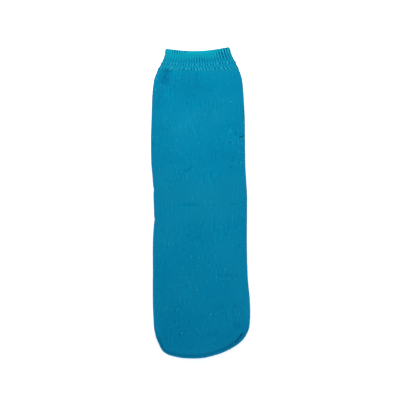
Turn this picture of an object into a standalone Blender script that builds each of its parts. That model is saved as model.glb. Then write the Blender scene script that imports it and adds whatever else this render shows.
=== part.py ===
"""Slipper sock with printed grips, empty and slack, lying along its sole.

Metres, +Z up. The toe points to -Y and the cuff to +Y. The origin is the middle of the
footprint, on the floor. The sock is one knitted tube with no heel pocket: a foot and a short
leg in one line, a doubled elastic cuff at the open end, and a toe closed by a linked seam.
"""

import math
from collections import namedtuple

import bmesh
import bpy
from mathutils import Vector

# Overall form
LENGTH = 0.320  # toe tip to the highest corner of the cuff
BALL_WIDTH = 0.1018  # widest place across the flattened sock
FOOT_HEIGHT = 0.023  # floor to the crown of the slack foot
TOE_SPRING = 0.0095  # distance over which the sole rises to the nose
FOLD_REACH = 0.0055  # how far the side folds curl in over the flat sole
WAIST_SHARE = 0.36  # height of the widest line within a section
CROWN_POWER = 3.0  # higher is a flatter top with rounder shoulders
POLE = 1e-9  # half width of the toe tip, so that nothing divides by zero there

# Fabric
WALL = 0.0018  # knit with its terry lining
CUFF_WALL = 0.0024  # doubled elastic knit
CUFF_LENGTH = 0.0245
CUFF_RELIEF = 0.0005  # ribs stand this far above the plain knit
RIM_INSET = 0.35  # share of the cuff's wall lost to the rounding inside its rim
MOUTH_DIP = 0.0039  # how far the cuff's edge sinks between its corners
MOUTH_TILT = 0.0017  # how much lower the left corner of the cuff lies
SAG_LEAD = 0.020  # the cloth starts to sag this far before the cuff
LEG_EASE = 0.75  # share of the leg behind the grips over which it settles on the floor
JOINT_GAP = 0.0003

# Toe seam
SEAM_INSET_RIGHT = 0.0045  # from the toe's outline at its right end
SEAM_INSET_LEFT = 0.0022
SEAM_SPAN = 0.026  # how far it runs back along each side of the toe
SEAM_WIDTH = 0.0022
SEAM_HEIGHT = 0.0009
SEAM_FADE = 0.2  # share of each half over which the seam thins out at its end
SEAM_TAPER = 0.35  # share of its width and height left at the end

# Printed grips: rows of chevrons, in two fields that point away from the middle of the sole
GRIP_HEIGHT = 0.0009
GRIP_LENGTH = 0.0115
GRIP_WIDTH = 0.0076
GRIP_LEAN = 0.14  # share of its length by which an arm's grip has its side corners slipped
GRIP_TIP = 0.16  # share of its width at the blunt end of a long corner
COLUMN_PITCH = 0.76 * GRIP_LENGTH  # neighbours on an arm nest into each other
ARM_DROP = 0.70 * GRIP_WIDTH  # from one column to the next
FRONT_GAP = 0.0092  # clear cloth between two chevrons of the front field
HEEL_GAP = 0.0074
FRONT_START = 0.0152  # toe tip to the point of the first chevron
HEEL_MARGIN = 0.0463  # point of the last chevron to the cuff
SIDE_MARGIN = 0.0050  # outermost grips to the side of the sock
PRINT_OFFSET = -0.0031  # the print sits a little off the sock's middle
FRONT_FIELD = 0.275  # share of LENGTH from the toe at which the front field ends
HEEL_FIELD = 0.580  # share of LENGTH at which the heel field starts

# Mesh density
STATIONS = 36
STATION_POWER = 1.6  # above 1, the rings crowd towards the toe
SOLE_STEPS = 6
FOLD_STEPS = 3
TOP_STEPS = 16
SEAM_STEPS = 34
SHARP_ANGLE = 50  # degrees between faces that are shaded apart

HALF_LENGTH = LENGTH / 2
HALF_WIDTH = BALL_WIDTH / 2
CUFF_START = LENGTH - CUFF_LENGTH
SAG_START = CUFF_START - SAG_LEAD
HEEL_END = CUFF_START - HEEL_MARGIN
LEG_START = HEEL_END + GRIP_WIDTH

# One row for each section, from the toe tip to the cuff. along is a share of LENGTH, left and
# right are shares of half the BALL_WIDTH, and top is a share of FOOT_HEIGHT.
Row = namedtuple("Row", "along left right top")
SECTIONS = (
    Row(0.000, -0.140, -0.140, 0.30),
    Row(0.002, -0.375, 0.070, 0.42),
    Row(0.006, -0.510, 0.190, 0.50),
    Row(0.012, -0.645, 0.335, 0.56),
    Row(0.018, -0.715, 0.450, 0.61),
    Row(0.028, -0.780, 0.590, 0.67),
    Row(0.047, -0.840, 0.780, 0.76),
    Row(0.073, -0.905, 0.920, 0.84),
    Row(0.105, -0.938, 0.990, 0.92),
    Row(0.140, -0.947, 1.000, 0.97),
    Row(0.186, -0.957, 0.992, 1.00),
    Row(0.250, -0.965, 0.960, 0.99),
    Row(0.314, -0.963, 0.944, 0.96),
    Row(0.379, -0.955, 0.938, 0.92),
    Row(0.450, -0.935, 0.943, 0.89),
    Row(0.507, -0.942, 0.943, 0.88),
    Row(0.572, -0.958, 0.922, 0.90),
    Row(0.636, -0.993, 0.903, 0.91),
    Row(0.700, -1.000, 0.899, 0.88),
    Row(0.765, -0.990, 0.900, 0.82),
    Row(0.829, -0.978, 0.881, 0.76),
    Row(0.893, -0.937, 0.843, 0.69),
    Row(0.919, -0.882, 0.798, 0.65),
    Row(0.945, -0.800, 0.722, 0.62),
    Row(0.971, -0.730, 0.640, 0.60),
    Row(1.000, -0.685, 0.567, 0.60),
)

# The cuff in profile: along is a share of CUFF_LENGTH and relief a share of CUFF_RELIEF. The last
# fifth is the turned welt.
Profile = namedtuple("Profile", "along relief")
CUFF_PROFILE = (
    Profile(0.00, 0.40),
    Profile(0.07, 1.00),
    Profile(0.38, 1.15),
    Profile(0.74, 1.00),
    Profile(0.80, 1.70),
    Profile(0.88, 2.00),
    Profile(0.96, 1.60),
    Profile(1.00, 0.00),
)

# The seam's cross-section, as shares of its width and height.
Edge = namedtuple("Edge", "across up")
SEAM_PROFILE = (
    Edge(-0.50, 0.0),
    Edge(0.50, 0.0),
    Edge(0.42, 0.7),
    Edge(0.15, 1.0),
    Edge(-0.15, 1.0),
    Edge(-0.42, 0.7),
)

# A section's middle and half width, the width of its side folds, and the heights of its
# underside, widest line and crown.
Section = namedtuple("Section", "middle half curl low waist high")


def monotone_cubic(xs, ys):
    """A smooth curve through the points that never overshoots them."""
    slopes = [(ys[i + 1] - ys[i]) / (xs[i + 1] - xs[i]) for i in range(len(xs) - 1)]
    tangents = [slopes[0]]
    for before, after in zip(slopes, slopes[1:]):
        tangents.append(0.0 if before * after <= 0 else 2 * before * after / (before + after))
    tangents.append(slopes[-1])

    def value(x):
        x = min(max(x, xs[0]), xs[-1])
        i = max(0, min(len(xs) - 2, sum(1 for known in xs if known <= x) - 1))
        step = xs[i + 1] - xs[i]
        t = (x - xs[i]) / step
        return (
            ys[i] * (1 + 2 * t) * (1 - t) ** 2
            + ys[i + 1] * t * t * (3 - 2 * t)
            + step * tangents[i] * t * (1 - t) ** 2
            - step * tangents[i + 1] * t * t * (1 - t)
        )

    return value


# Against the root of the distance, a round toe is a straight start of each curve.
ROOTS = [math.sqrt(row.along) for row in SECTIONS]
left_share = monotone_cubic(ROOTS, [row.left for row in SECTIONS])
right_share = monotone_cubic(ROOTS, [row.right for row in SECTIONS])
top_share = monotone_cubic(ROOTS, [row.top for row in SECTIONS])


def ease(x):
    """0 to 1 with flat ends."""
    x = min(max(x, 0.0), 1.0)
    return x * x * (3 - 2 * x)


def sole_height(s):
    """Underside of the knit: on its grips under the foot, on the floor under the leg."""
    if s < TOE_SPRING:
        back = 1 - s / TOE_SPRING
        nose = SECTIONS[0].top * FOOT_HEIGHT
        return GRIP_HEIGHT + (nose - GRIP_HEIGHT) * (1 - math.sqrt(1 - back * back))
    return GRIP_HEIGHT * (1 - ease((s - LEG_START) / (LEG_EASE * (CUFF_START - LEG_START))))


def section_at(s):
    """Section of the sock at distance s from the toe tip."""
    root = math.sqrt(max(s, 0.0) / LENGTH)
    left = left_share(root) * HALF_WIDTH
    right = right_share(root) * HALF_WIDTH
    half = max((right - left) / 2, POLE)
    curl = min(FOLD_REACH, half * 2 / 3)
    low = sole_height(s)
    high = max(top_share(root) * FOOT_HEIGHT, low)
    return Section((left + right) / 2, half, curl, low, low + WAIST_SHARE * (high - low), high)


def placed(section, x, z, s):
    """A point of a section in the part's frame, with the sag that ends at the cuff's edge."""
    across = (x - section.middle) / section.half
    share = ease((s - SAG_START) / (LENGTH - SAG_START))
    sag = MOUTH_DIP * (1 - across * across) + MOUTH_TILT * (1 - across) / 2
    return Vector((x, s - HALF_LENGTH - share * sag, z))


def crown(section, across):
    """Height of the upper side at a share of the half width."""
    rise = math.sqrt(1 - min(abs(across), 1.0) ** CROWN_POWER)
    return section.waist + (section.high - section.waist) * rise


def fold(section, turn):
    """Reach past the flat sole, and height, of the side fold at an angle from its foot."""
    rise = section.waist - section.low
    return section.curl * math.sin(turn), section.low + rise * (1 - math.cos(turn))


def top_point(x, s):
    """Point of the upper side at x."""
    section = section_at(s)
    return placed(section, x, crown(section, (x - section.middle) / section.half), s)


def sole_point(reach, s):
    """Point of the underside at a distance reach from its middle, measured along the cloth."""
    section = section_at(s)
    flat = section.half - section.curl
    radius = (section.curl + section.waist - section.low) / 2
    turn = min(max(abs(reach) - flat, 0.0) / radius, math.pi / 2)
    past, height = fold(section, turn)
    x = section.middle + math.copysign(min(abs(reach), flat) + past, reach)
    return placed(section, x, height, s)


def ring(s):
    """Points round the sock at distance s, from the left end of the flat sole."""
    section = section_at(s)
    flat = section.half - section.curl
    folds = [fold(section, math.pi / 2 * i / FOLD_STEPS) for i in range(FOLD_STEPS + 1)]
    shares = [math.cos(math.pi * i / TOP_STEPS) for i in range(TOP_STEPS)]
    sole = [(flat * (2 * i / SOLE_STEPS - 1), section.low) for i in range(SOLE_STEPS)]
    right = [(flat + past, height) for past, height in folds[:-1]]
    top = [(across * section.half, crown(section, across)) for across in shares]
    left = [(-flat - past, height) for past, height in reversed(folds[1:])]
    return [placed(section, section.middle + x, z, s) for x, z in sole + right + top + left]


def outward(rings, i, j, joint):
    """Direction out of the cloth at a point of a grid of rings, square to Y on the joint's ring."""
    count = len(rings[i])
    behind = rings[max(i - 1, 0)][j]
    ahead = rings[min(i + 1, len(rings) - 1)][j]
    around = rings[i][(j + 1) % count] - rings[i][j - 1]
    normal = (ahead - behind).cross(around)
    if i == joint:
        normal.y = 0.0
    return normal.normalized()


def shifted(rings, offsets, joint):
    """The rings moved out of the cloth by one offset each; the joint's ring stays flat."""
    return [
        [point + outward(rings, i, j, joint) * offsets[i] for j, point in enumerate(loop)]
        for i, loop in enumerate(rings)
    ]


def lifted(rings, heights):
    """The rings raised by one height each."""
    return [[point + Vector((0, 0, up)) for point in loop] for loop, up in zip(rings, heights)]


def add_object(name, mesh_data, *materials):
    """Links a mesh made in bmesh as one named object."""
    bmesh.ops.recalc_face_normals(mesh_data, faces=mesh_data.faces)
    mesh = bpy.data.meshes.new(name)
    mesh_data.to_mesh(mesh)
    mesh_data.free()
    mesh.shade_smooth()
    mesh.set_sharp_from_angle(angle=math.radians(SHARP_ANGLE))
    for material in materials:
        mesh.materials.append(material)
    thing = bpy.data.objects.new(name, mesh)
    bpy.context.scene.collection.objects.link(thing)
    return thing


def bridge(mesh_data, loop_a, loop_b):
    """Faces between two closed loops of as many points."""
    count = len(loop_a)
    for j in range(count):
        after = (j + 1) % count
        mesh_data.faces.new((loop_a[j], loop_a[after], loop_b[after], loop_b[j]))


def fan(mesh_data, loop, tip):
    """Closes a loop to one point."""
    for j in range(len(loop)):
        mesh_data.faces.new((loop[j], tip, loop[(j + 1) % len(loop)]))


def loops_of(mesh_data, rings):
    """Rings of points as rings of vertices, bridged in order."""
    loops = [[mesh_data.verts.new(point) for point in loop] for loop in rings]
    for loop_a, loop_b in zip(loops, loops[1:]):
        bridge(mesh_data, loop_a, loop_b)
    return loops


def cloth(name, colour, roughness):
    """A matt textile or a print on it, with its colour in linear light."""
    material = bpy.data.materials.new(name)
    material.use_nodes = True
    shader = material.node_tree.nodes["Principled BSDF"]
    shader.inputs["Base Color"].default_value = (*colour, 1.0)
    shader.inputs["Roughness"].default_value = roughness
    shader.inputs["Metallic"].default_value = 0.0
    return material


def grip_corners(side):
    """Outline of one grip about its middle, across and along; side is its arm, 0 at the point."""
    half_length = GRIP_LENGTH / 2
    half_width = GRIP_WIDTH / 2
    blunt = GRIP_TIP * GRIP_WIDTH / 2
    lean = side * GRIP_LEAN * GRIP_LENGTH
    return (
        (-half_length, -blunt),
        (-lean, -half_width),
        (half_length, -blunt),
        (half_length, blunt),
        (lean, half_width),
        (-half_length, blunt),
    )


def grip_places():
    """Each grip's place across and along, the way its field points and the arm that it is on."""
    room = HALF_WIDTH - SIDE_MARGIN - abs(PRINT_OFFSET) - GRIP_LENGTH / 2
    columns = int(room / COLUMN_PITCH)
    front_rows = 1 + int((FRONT_FIELD * LENGTH - FRONT_START) / (GRIP_WIDTH + FRONT_GAP))
    heel_rows = 1 + int((HEEL_END - HEEL_FIELD * LENGTH) / (GRIP_WIDTH + HEEL_GAP))
    points = [(FRONT_START + row * (GRIP_WIDTH + FRONT_GAP), 1) for row in range(front_rows)]
    points += [(HEEL_END - row * (GRIP_WIDTH + HEEL_GAP), -1) for row in range(heel_rows)]
    places = []
    for start, way in points:
        for column in range(-columns, columns + 1):
            side = (column > 0) - (column < 0)
            across = PRINT_OFFSET + column * COLUMN_PITCH
            places.append((across, start + way * abs(column) * ARM_DROP, way * side))
    return places


def sole_normal(reach, s):
    """Direction out of the sole at a point of it."""
    step = WALL / 4
    across = sole_point(reach + step, s) - sole_point(reach - step, s)
    along = sole_point(reach, s + step) - sole_point(reach, s - step)
    return across.cross(along).normalized() * -1


def build_grips(knit, print_material):
    """All the grips as prisms rooted in the wall, to be fused with it."""
    prisms = bmesh.new()
    for across, s, side in grip_places():
        root = []
        face = []
        for dx, ds in grip_corners(side):
            point = sole_point(across + dx, s + ds)
            normal = sole_normal(across + dx, s + ds)
            root.append(prisms.verts.new(point - normal * WALL / 2))
            face.append(prisms.verts.new(point + normal * GRIP_HEIGHT))
        bridge(prisms, root, face)
        prisms.faces.new(root)
        prisms.faces.new(face)
    for side in prisms.faces:
        side.material_index = 1
    grips = add_object("grips_cutter", prisms, knit, print_material)
    grips.hide_render = True
    grips.display_type = "WIRE"
    return grips


def build_tube(knit, print_material, grips):
    """Foot and leg in one hollow knit, closed at the toe and open at the cuff, with its grips."""
    end = CUFF_START - JOINT_GAP
    stations = [end * (i / STATIONS) ** STATION_POWER for i in range(1, STATIONS + 1)]
    outer = [ring(s) for s in stations]
    inner = shifted(outer, [-WALL] * STATIONS, STATIONS - 1)
    tip = top_point(section_at(0.0).middle, 0.0)
    tube = bmesh.new()
    outside = loops_of(tube, outer)
    inside = loops_of(tube, inner)
    fan(tube, outside[0], tube.verts.new(tip))
    fan(tube, inside[0], tube.verts.new(tip + Vector((0.0, WALL, 0.0))))
    bridge(tube, outside[-1], inside[-1])
    body = add_object("knit_tube", tube, knit, print_material)
    join = body.modifiers.new("printed grips", "BOOLEAN")
    join.operation = "UNION"
    join.solver = "EXACT"
    join.object = grips


def build_cuff(material):
    """Elastic cuff: a ribbed band and the turned welt at the mouth."""
    base = [ring(CUFF_START + row.along * CUFF_LENGTH) for row in CUFF_PROFILE]
    reliefs = [row.relief * CUFF_RELIEF for row in CUFF_PROFILE]
    depths = [-CUFF_WALL] * (len(base) - 1) + [-CUFF_WALL * (1 - RIM_INSET)]
    outer = lifted(shifted(base, reliefs, 0), reliefs)
    inner = lifted(shifted(base, depths, 0), reliefs)
    band = bmesh.new()
    outside = loops_of(band, outer)
    inside = loops_of(band, inner)
    bridge(band, outside[0], inside[0])
    bridge(band, outside[-1], inside[-1])
    add_object("cuff", band, material)


def seam_path(t):
    """Point and upward direction of the seam, with t from -1 at the left to 1 at the right."""
    section = section_at(SEAM_SPAN * t * t)
    edge = Vector((section.middle + math.copysign(section.half, t), SEAM_SPAN * t * t))
    centre = Vector((section_at(SEAM_SPAN).middle, 2 * SEAM_SPAN))
    inset = SEAM_INSET_LEFT + (SEAM_INSET_RIGHT - SEAM_INSET_LEFT) * (1 + t) / 2
    spot = edge + (centre - edge).normalized() * inset
    step = SEAM_WIDTH / 4
    across = top_point(spot.x + step, spot.y) - top_point(spot.x - step, spot.y)
    along = top_point(spot.x, spot.y + step) - top_point(spot.x, spot.y - step)
    return top_point(spot.x, spot.y), across.cross(along).normalized()


def build_toe_seam(material):
    """Linked seam that closes the toe: a low cord over the front of the toes."""
    steps = [-1 + 2 * i / SEAM_STEPS for i in range(SEAM_STEPS + 1)]
    path = [seam_path(t) for t in steps]
    rings = []
    for i, (point, up) in enumerate(path):
        run = path[min(i + 1, SEAM_STEPS)][0] - path[max(i - 1, 0)][0]
        sideways = run.cross(up).normalized()
        share = SEAM_TAPER + (1 - SEAM_TAPER) * ease((1 - abs(steps[i])) / SEAM_FADE)
        base = point + up * JOINT_GAP
        wide = sideways * SEAM_WIDTH * share
        tall = up * SEAM_HEIGHT * share
        rings.append([base + wide * edge.across + tall * edge.up for edge in SEAM_PROFILE])
    cord = bmesh.new()
    loops = loops_of(cord, rings)
    cord.faces.new(loops[0])
    cord.faces.new(loops[-1])
    add_object("toe_seam", cord, material)


def main():
    """Builds the sock from an empty scene."""
    for thing in list(bpy.data.objects):
        bpy.data.objects.remove(thing)
    knit = cloth("teal terry knit", (0.002, 0.231, 0.407), 0.92)
    grip_print = cloth("white grip print", (0.84, 0.84, 0.82), 0.55)
    ribbing = cloth("teal elastic ribbing", (0.003, 0.270, 0.450), 0.90)
    thread = cloth("teal seam yarn", (0.002, 0.215, 0.380), 0.92)
    grips = build_grips(knit, grip_print)
    build_tube(knit, grip_print, grips)
    build_cuff(ribbing)
    build_toe_seam(thread)


main()
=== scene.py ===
"""Slipper sock in teal terry knit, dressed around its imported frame.

Metres, +Z up. The toe points to -Y and the cuff to +Y, and the sock lies along its sole on the
floor at z = 0. A name that ends in _mm holds millimetres, and MM turns them into metres.
"""

import logging
import math
from dataclasses import dataclass, field
from enum import Enum
from typing import Any, Callable, NamedTuple, Sequence

import bmesh
import bpy
import numpy as np
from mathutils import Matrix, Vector


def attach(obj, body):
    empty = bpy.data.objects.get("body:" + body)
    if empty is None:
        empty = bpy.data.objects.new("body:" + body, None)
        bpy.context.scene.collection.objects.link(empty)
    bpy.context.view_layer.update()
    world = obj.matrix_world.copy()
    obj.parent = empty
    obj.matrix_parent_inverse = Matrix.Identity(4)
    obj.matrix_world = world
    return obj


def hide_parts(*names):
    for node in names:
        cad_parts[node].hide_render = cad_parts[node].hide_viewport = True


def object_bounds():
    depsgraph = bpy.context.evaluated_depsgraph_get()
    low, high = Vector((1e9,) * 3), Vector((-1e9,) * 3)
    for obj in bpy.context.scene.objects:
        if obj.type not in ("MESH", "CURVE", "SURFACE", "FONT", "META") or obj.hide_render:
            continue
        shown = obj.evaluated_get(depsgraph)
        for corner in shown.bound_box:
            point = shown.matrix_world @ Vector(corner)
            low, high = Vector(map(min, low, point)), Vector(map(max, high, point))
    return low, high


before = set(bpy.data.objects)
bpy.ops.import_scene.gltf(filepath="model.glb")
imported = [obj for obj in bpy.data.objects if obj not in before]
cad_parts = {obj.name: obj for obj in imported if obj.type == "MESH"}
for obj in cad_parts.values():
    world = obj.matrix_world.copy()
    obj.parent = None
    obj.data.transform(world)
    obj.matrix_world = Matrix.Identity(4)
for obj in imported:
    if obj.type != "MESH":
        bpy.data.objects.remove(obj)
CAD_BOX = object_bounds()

MM = 0.001
TINY = 1e-12  # the least length to divide by
BODY = "root"
LOG = logging.getLogger("slipper_sock")


class Slot(Enum):
    """Names of the pieces' material slots; PieceMesh.build takes one but does not use it."""

    KNIT = "knit"
    CUFF = "cuff"
    SEAM = "seam"
    GRIP = "grip"


def linear(colour: str) -> tuple[float, ...]:
    """An sRGB hex colour such as #0a78a0 in linear light, with full opacity after it."""
    shares = [int(colour[i : i + 2], 16) / 255 for i in (1, 3, 5)]
    return (*(c / 12.92 if c <= 0.04045 else ((c + 0.055) / 1.055) ** 2.4 for c in shares), 1.0)


def ramp(x: np.ndarray, start: np.ndarray | float, full: np.ndarray | float) -> np.ndarray:
    """0 up to the start and 1 from full on, with flat ends; full may lie before the start."""
    x = np.clip((x - start) / (full - start), 0.0, 1.0)
    return x * x * (3 - 2 * x)


def above(least: float, share: np.ndarray) -> np.ndarray:
    """The share squeezed so that 0 gives the least and 1 stays 1."""
    return least + (1 - least) * share


def hump(distance: np.ndarray, width: float) -> np.ndarray:
    """A soft bump: 1 at no distance and about a third at the width."""
    return np.exp(-((distance / width) ** 2))


# The form of the sock


class Row(NamedTuple):
    """A section: its share of the length, then shares of half the width and of the height."""

    along: float
    left: float
    right: float
    top: float


SECTIONS = (
    Row(0.000, -0.140, -0.140, 0.30),
    Row(0.002, -0.375, 0.070, 0.42),
    Row(0.006, -0.510, 0.190, 0.50),
    Row(0.012, -0.645, 0.335, 0.56),
    Row(0.018, -0.715, 0.450, 0.61),
    Row(0.028, -0.780, 0.590, 0.67),
    Row(0.047, -0.840, 0.780, 0.76),
    Row(0.073, -0.905, 0.920, 0.84),
    Row(0.105, -0.938, 0.990, 0.92),
    Row(0.140, -0.947, 1.000, 0.97),
    Row(0.186, -0.957, 0.992, 1.00),
    Row(0.250, -0.965, 0.960, 0.99),
    Row(0.314, -0.963, 0.944, 0.96),
    Row(0.379, -0.955, 0.938, 0.92),
    Row(0.450, -0.935, 0.943, 0.89),
    Row(0.507, -0.942, 0.943, 0.88),
    Row(0.572, -0.958, 0.922, 0.90),
    Row(0.636, -0.993, 0.903, 0.91),
    Row(0.700, -1.000, 0.899, 0.88),
    Row(0.765, -0.990, 0.900, 0.82),
    Row(0.829, -0.978, 0.881, 0.76),
    Row(0.893, -0.937, 0.843, 0.69),
    Row(0.919, -0.882, 0.798, 0.65),
    Row(0.945, -0.800, 0.722, 0.62),
    Row(0.971, -0.730, 0.640, 0.60),
    Row(1.000, -0.685, 0.567, 0.60),
)


@dataclass(frozen=True)
class SoftCurve:
    """A smooth curve through known points that never overshoots them."""

    places: np.ndarray
    heights: np.ndarray

    def at(self, x: np.ndarray) -> np.ndarray:
        """Height of the curve at each x.

        Args:
            x: Places along the curve, clamped to its ends.

        Returns:
            As many heights.
        """
        slopes = np.diff(self.heights) / np.diff(self.places)
        before, after = slopes[:-1], slopes[1:]
        same_way = before * after > 0
        total = np.where(same_way, before + after, 1.0)
        inner = np.where(same_way, 2 * before * after / total, 0.0)
        tangents = np.concatenate((slopes[:1], inner, slopes[-1:]))
        x = np.clip(x, self.places[0], self.places[-1])
        i = np.clip(np.searchsorted(self.places, x, side="right") - 1, 0, len(self.places) - 2)
        step = self.places[i + 1] - self.places[i]
        t = (x - self.places[i]) / step
        return (
            self.heights[i] * (1 + 2 * t) * (1 - t) ** 2
            + self.heights[i + 1] * t * t * (3 - 2 * t)
            + step * tangents[i] * t * (1 - t) ** 2
            - step * tangents[i + 1] * t * t * (1 - t)
        )


@dataclass(frozen=True)
class Sections:
    """The sock's sections at some distances from the toe tip, as arrays of one length."""

    along: np.ndarray
    middle: np.ndarray
    half: np.ndarray
    curl: np.ndarray
    low: np.ndarray
    waist: np.ndarray
    high: np.ndarray


@dataclass(frozen=True)
class SockForm:
    """The slack sock without its fine relief: one flattened tube, laid along its sole."""

    length: float
    width: float
    height: float
    wall: float = 1.8 * MM
    cuff_wall: float = 2.4 * MM
    cuff_length: float = 24.5 * MM
    joint_gap: float = 0.3 * MM
    toe_spring: float = 9.5 * MM
    fold_reach: float = 5.5 * MM
    waist_share: float = 0.36
    crown_power: float = 3.0
    mouth_dip: float = 3.9 * MM
    mouth_tilt: float = 1.7 * MM
    sag_lead: float = 20.0 * MM
    grip_height: float = 0.9 * MM
    grip_width: float = 7.6 * MM
    heel_margin: float = 46.3 * MM
    leg_ease: float = 0.75
    seam_span: float = 26.0 * MM
    seam_inset_left: float = 2.2 * MM
    seam_inset_right: float = 4.5 * MM
    pole: float = 1e-9  # least half width, at the tip
    curl_share: float = 2 / 3  # of half the width, where the sock is narrow
    crown_steps: int = 80
    curl_steps: int = 16
    flat_steps: int = 12

    @classmethod
    def from_box(cls, box: Sequence[Sequence[float]]) -> "SockForm":
        """The sock that fills a box, given by its lowest and highest corners."""
        low, high = box
        return cls(high[1] - low[1], high[0] - low[0], high[2] - low[2])

    @property
    def cuff_start(self) -> float:
        """Distance from the toe tip to the cuff's foot."""
        return self.length - self.cuff_length

    @property
    def heel_end(self) -> float:
        """Distance from the toe tip to the point of the heel's last chevron."""
        return self.cuff_start - self.heel_margin

    def sag(self, s: np.ndarray, across: np.ndarray) -> np.ndarray:
        """How far the cloth sinks towards the toe near the mouth, at a share of the half width."""
        share = ramp(s, self.cuff_start - self.sag_lead, self.length)
        return share * (self.mouth_dip * (1 - across**2) + self.mouth_tilt * (1 - across) / 2)

    def underside(self, s: np.ndarray) -> np.ndarray:
        """Height of the knit's underside, which lies on its grips, and on the floor at the leg.

        Args:
            s: Distances from the toe tip.

        Returns:
            As many heights.
        """
        nose = SECTIONS[0].top * self.height
        back = np.clip(1 - s / self.toe_spring, 0.0, 1.0)
        spring = (nose - self.grip_height) * (1 - np.sqrt(1 - back**2))
        leg_start = self.heel_end + self.grip_width
        settled = leg_start + self.leg_ease * (self.cuff_start - leg_start)
        return self.grip_height * (1 - ramp(s, leg_start, settled)) + spring

    def sections(self, s: np.ndarray) -> Sections:
        """Sections at distances s from the toe tip.

        Args:
            s: The distances.

        Returns:
            The sections there.
        """
        s = np.clip(np.asarray(s, float), 0.0, self.length)
        along, *sides = np.array(SECTIONS).T
        root = np.sqrt(s / self.length)
        left, right, top = (SoftCurve(np.sqrt(along), side).at(root) for side in sides)
        half = np.maximum((right - left) / 4 * self.width, self.pole)
        low = self.underside(s)
        high = np.maximum(top * self.height, low)
        return Sections(
            along=s,
            middle=(left + right) / 4 * self.width,
            half=half,
            curl=np.minimum(self.fold_reach, half * self.curl_share),
            low=low,
            waist=low + self.waist_share * (high - low),
            high=high,
        )

    def half_loops(self, sec: Sections) -> tuple[np.ndarray, np.ndarray, np.ndarray]:
        """The right half of each section as a dense line, from the crown to the sole's middle.

        Args:
            sec: The sections.

        Returns:
            Reach from the middle, height, and length along the line, a row for each section.
        """
        across = np.sin(np.linspace(0, math.pi / 2, self.crown_steps))
        rise = np.sqrt(1 - across**self.crown_power)
        turn = np.linspace(math.pi / 2, 0, self.curl_steps)[1:]
        inward = np.linspace(1, 0, self.flat_steps)[1:]
        half, curl, low, waist, high = (
            values[:, None] for values in (sec.half, sec.curl, sec.low, sec.waist, sec.high)
        )
        flat = half - curl
        reach = np.hstack((half * across, flat + curl * np.sin(turn), flat * inward))
        upper = waist + (high - waist) * rise
        side = low + (waist - low) * (1 - np.cos(turn))
        height = np.hstack((upper, side, low * np.ones_like(inward)))
        steps = np.hypot(np.diff(reach, axis=1), np.diff(height, axis=1))
        arc = np.hstack((np.zeros((len(flat), 1)), np.cumsum(steps, axis=1)))
        return reach, height, arc

    def girths(self, s: np.ndarray) -> tuple[np.ndarray, np.ndarray]:
        """Half girth at each s, and the part of it from the crown to the widest line.

        Args:
            s: Distances from the toe tip.

        Returns:
            Both lengths, one for each distance.
        """
        reach, _, arc = self.half_loops(self.sections(s))
        widest = np.argmax(reach, axis=1)
        return arc[:, -1], arc[np.arange(len(arc)), widest]

    def skin(self, s: np.ndarray, shares: np.ndarray) -> np.ndarray:
        """Points of the cloth's outer face.

        Args:
            s: Distances from the toe tip.
            shares: Places round the section as shares of its half girth: 0 at the crown, 1 at
                the middle of the sole by way of the right side, and -1 by way of the left.

        Returns:
            An array of (distance, share, xyz).
        """
        sec = self.sections(s)
        reach, height, arc = self.half_loops(sec)
        points = np.empty((len(sec.along), len(shares), 3))
        for i, line in enumerate(arc):
            want = np.abs(shares) * line[-1]
            points[i, :, 0] = np.copysign(np.interp(want, line, reach[i]), shares)
            points[i, :, 2] = np.interp(want, line, height[i])
        across = points[..., 0] / sec.half[:, None]
        sag = self.sag(sec.along[:, None], across)
        points[..., 1] = sec.along[:, None] - self.length / 2 - sag
        points[..., 0] += sec.middle[:, None]
        return points

    def top_points(self, x: np.ndarray, s: np.ndarray) -> np.ndarray:
        """Points of the upper side at x and at distance s from the toe tip.

        Args:
            x: Places across the sock.
            s: Distances from the toe tip.

        Returns:
            An array of (place, xyz).
        """
        sec = self.sections(s)
        across = (x - sec.middle) / sec.half
        rise = np.sqrt(1 - np.minimum(np.abs(across), 1.0) ** self.crown_power)
        y = sec.along - self.length / 2 - self.sag(sec.along, across)
        z = sec.waist + (sec.high - sec.waist) * rise
        return np.stack(np.broadcast_arrays(x, y, z), axis=-1)

    def sole_points(self, reach: np.ndarray, s: np.ndarray) -> np.ndarray:
        """Points of the underside at a distance from its middle, measured along the cloth.

        Args:
            reach: Distances along the cloth, below zero to the left.
            s: Distances from the toe tip.

        Returns:
            An array of (place, xyz).
        """
        sec = self.sections(s)
        flat = sec.half - sec.curl
        radius = (sec.curl + sec.waist - sec.low) / 2
        turn = np.clip(np.abs(reach) - flat, 0.0, None) / radius
        turn = np.minimum(turn, math.pi / 2)
        out = np.minimum(np.abs(reach), flat) + sec.curl * np.sin(turn)
        z = sec.low + (sec.waist - sec.low) * (1 - np.cos(turn))
        x = sec.middle + np.copysign(out, reach)
        y = sec.along - self.length / 2 - self.sag(sec.along, (x - sec.middle) / sec.half)
        return np.stack((x, y, z), axis=-1)

    def seam_places(self, t: np.ndarray, further: float = 0.0) -> tuple[np.ndarray, np.ndarray]:
        """Places of the toe seam on the upper side.

        Args:
            t: Shares along the seam, from -1 at its left end to 1 at its right end.
            further: Extra distance in from the toe's outline.

        Returns:
            x, and the distance from the toe tip.
        """
        s = self.seam_span * t * t
        sec = self.sections(s)
        edge = np.stack((sec.middle + np.copysign(sec.half, t), s), axis=-1)
        middle = self.sections(np.array([self.seam_span])).middle[0]
        inward = unit(np.array([middle, 2 * self.seam_span]) - edge)
        inset = self.seam_inset_left
        inset = inset + (self.seam_inset_right - inset) * (1 + t) / 2 + further
        spot = edge + inward * inset[:, None]
        return spot[:, 0], spot[:, 1]


def unit(vectors: np.ndarray) -> np.ndarray:
    """The vectors at length 1."""
    return vectors / np.maximum(np.linalg.norm(vectors, axis=-1, keepdims=True), TINY)


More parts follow.
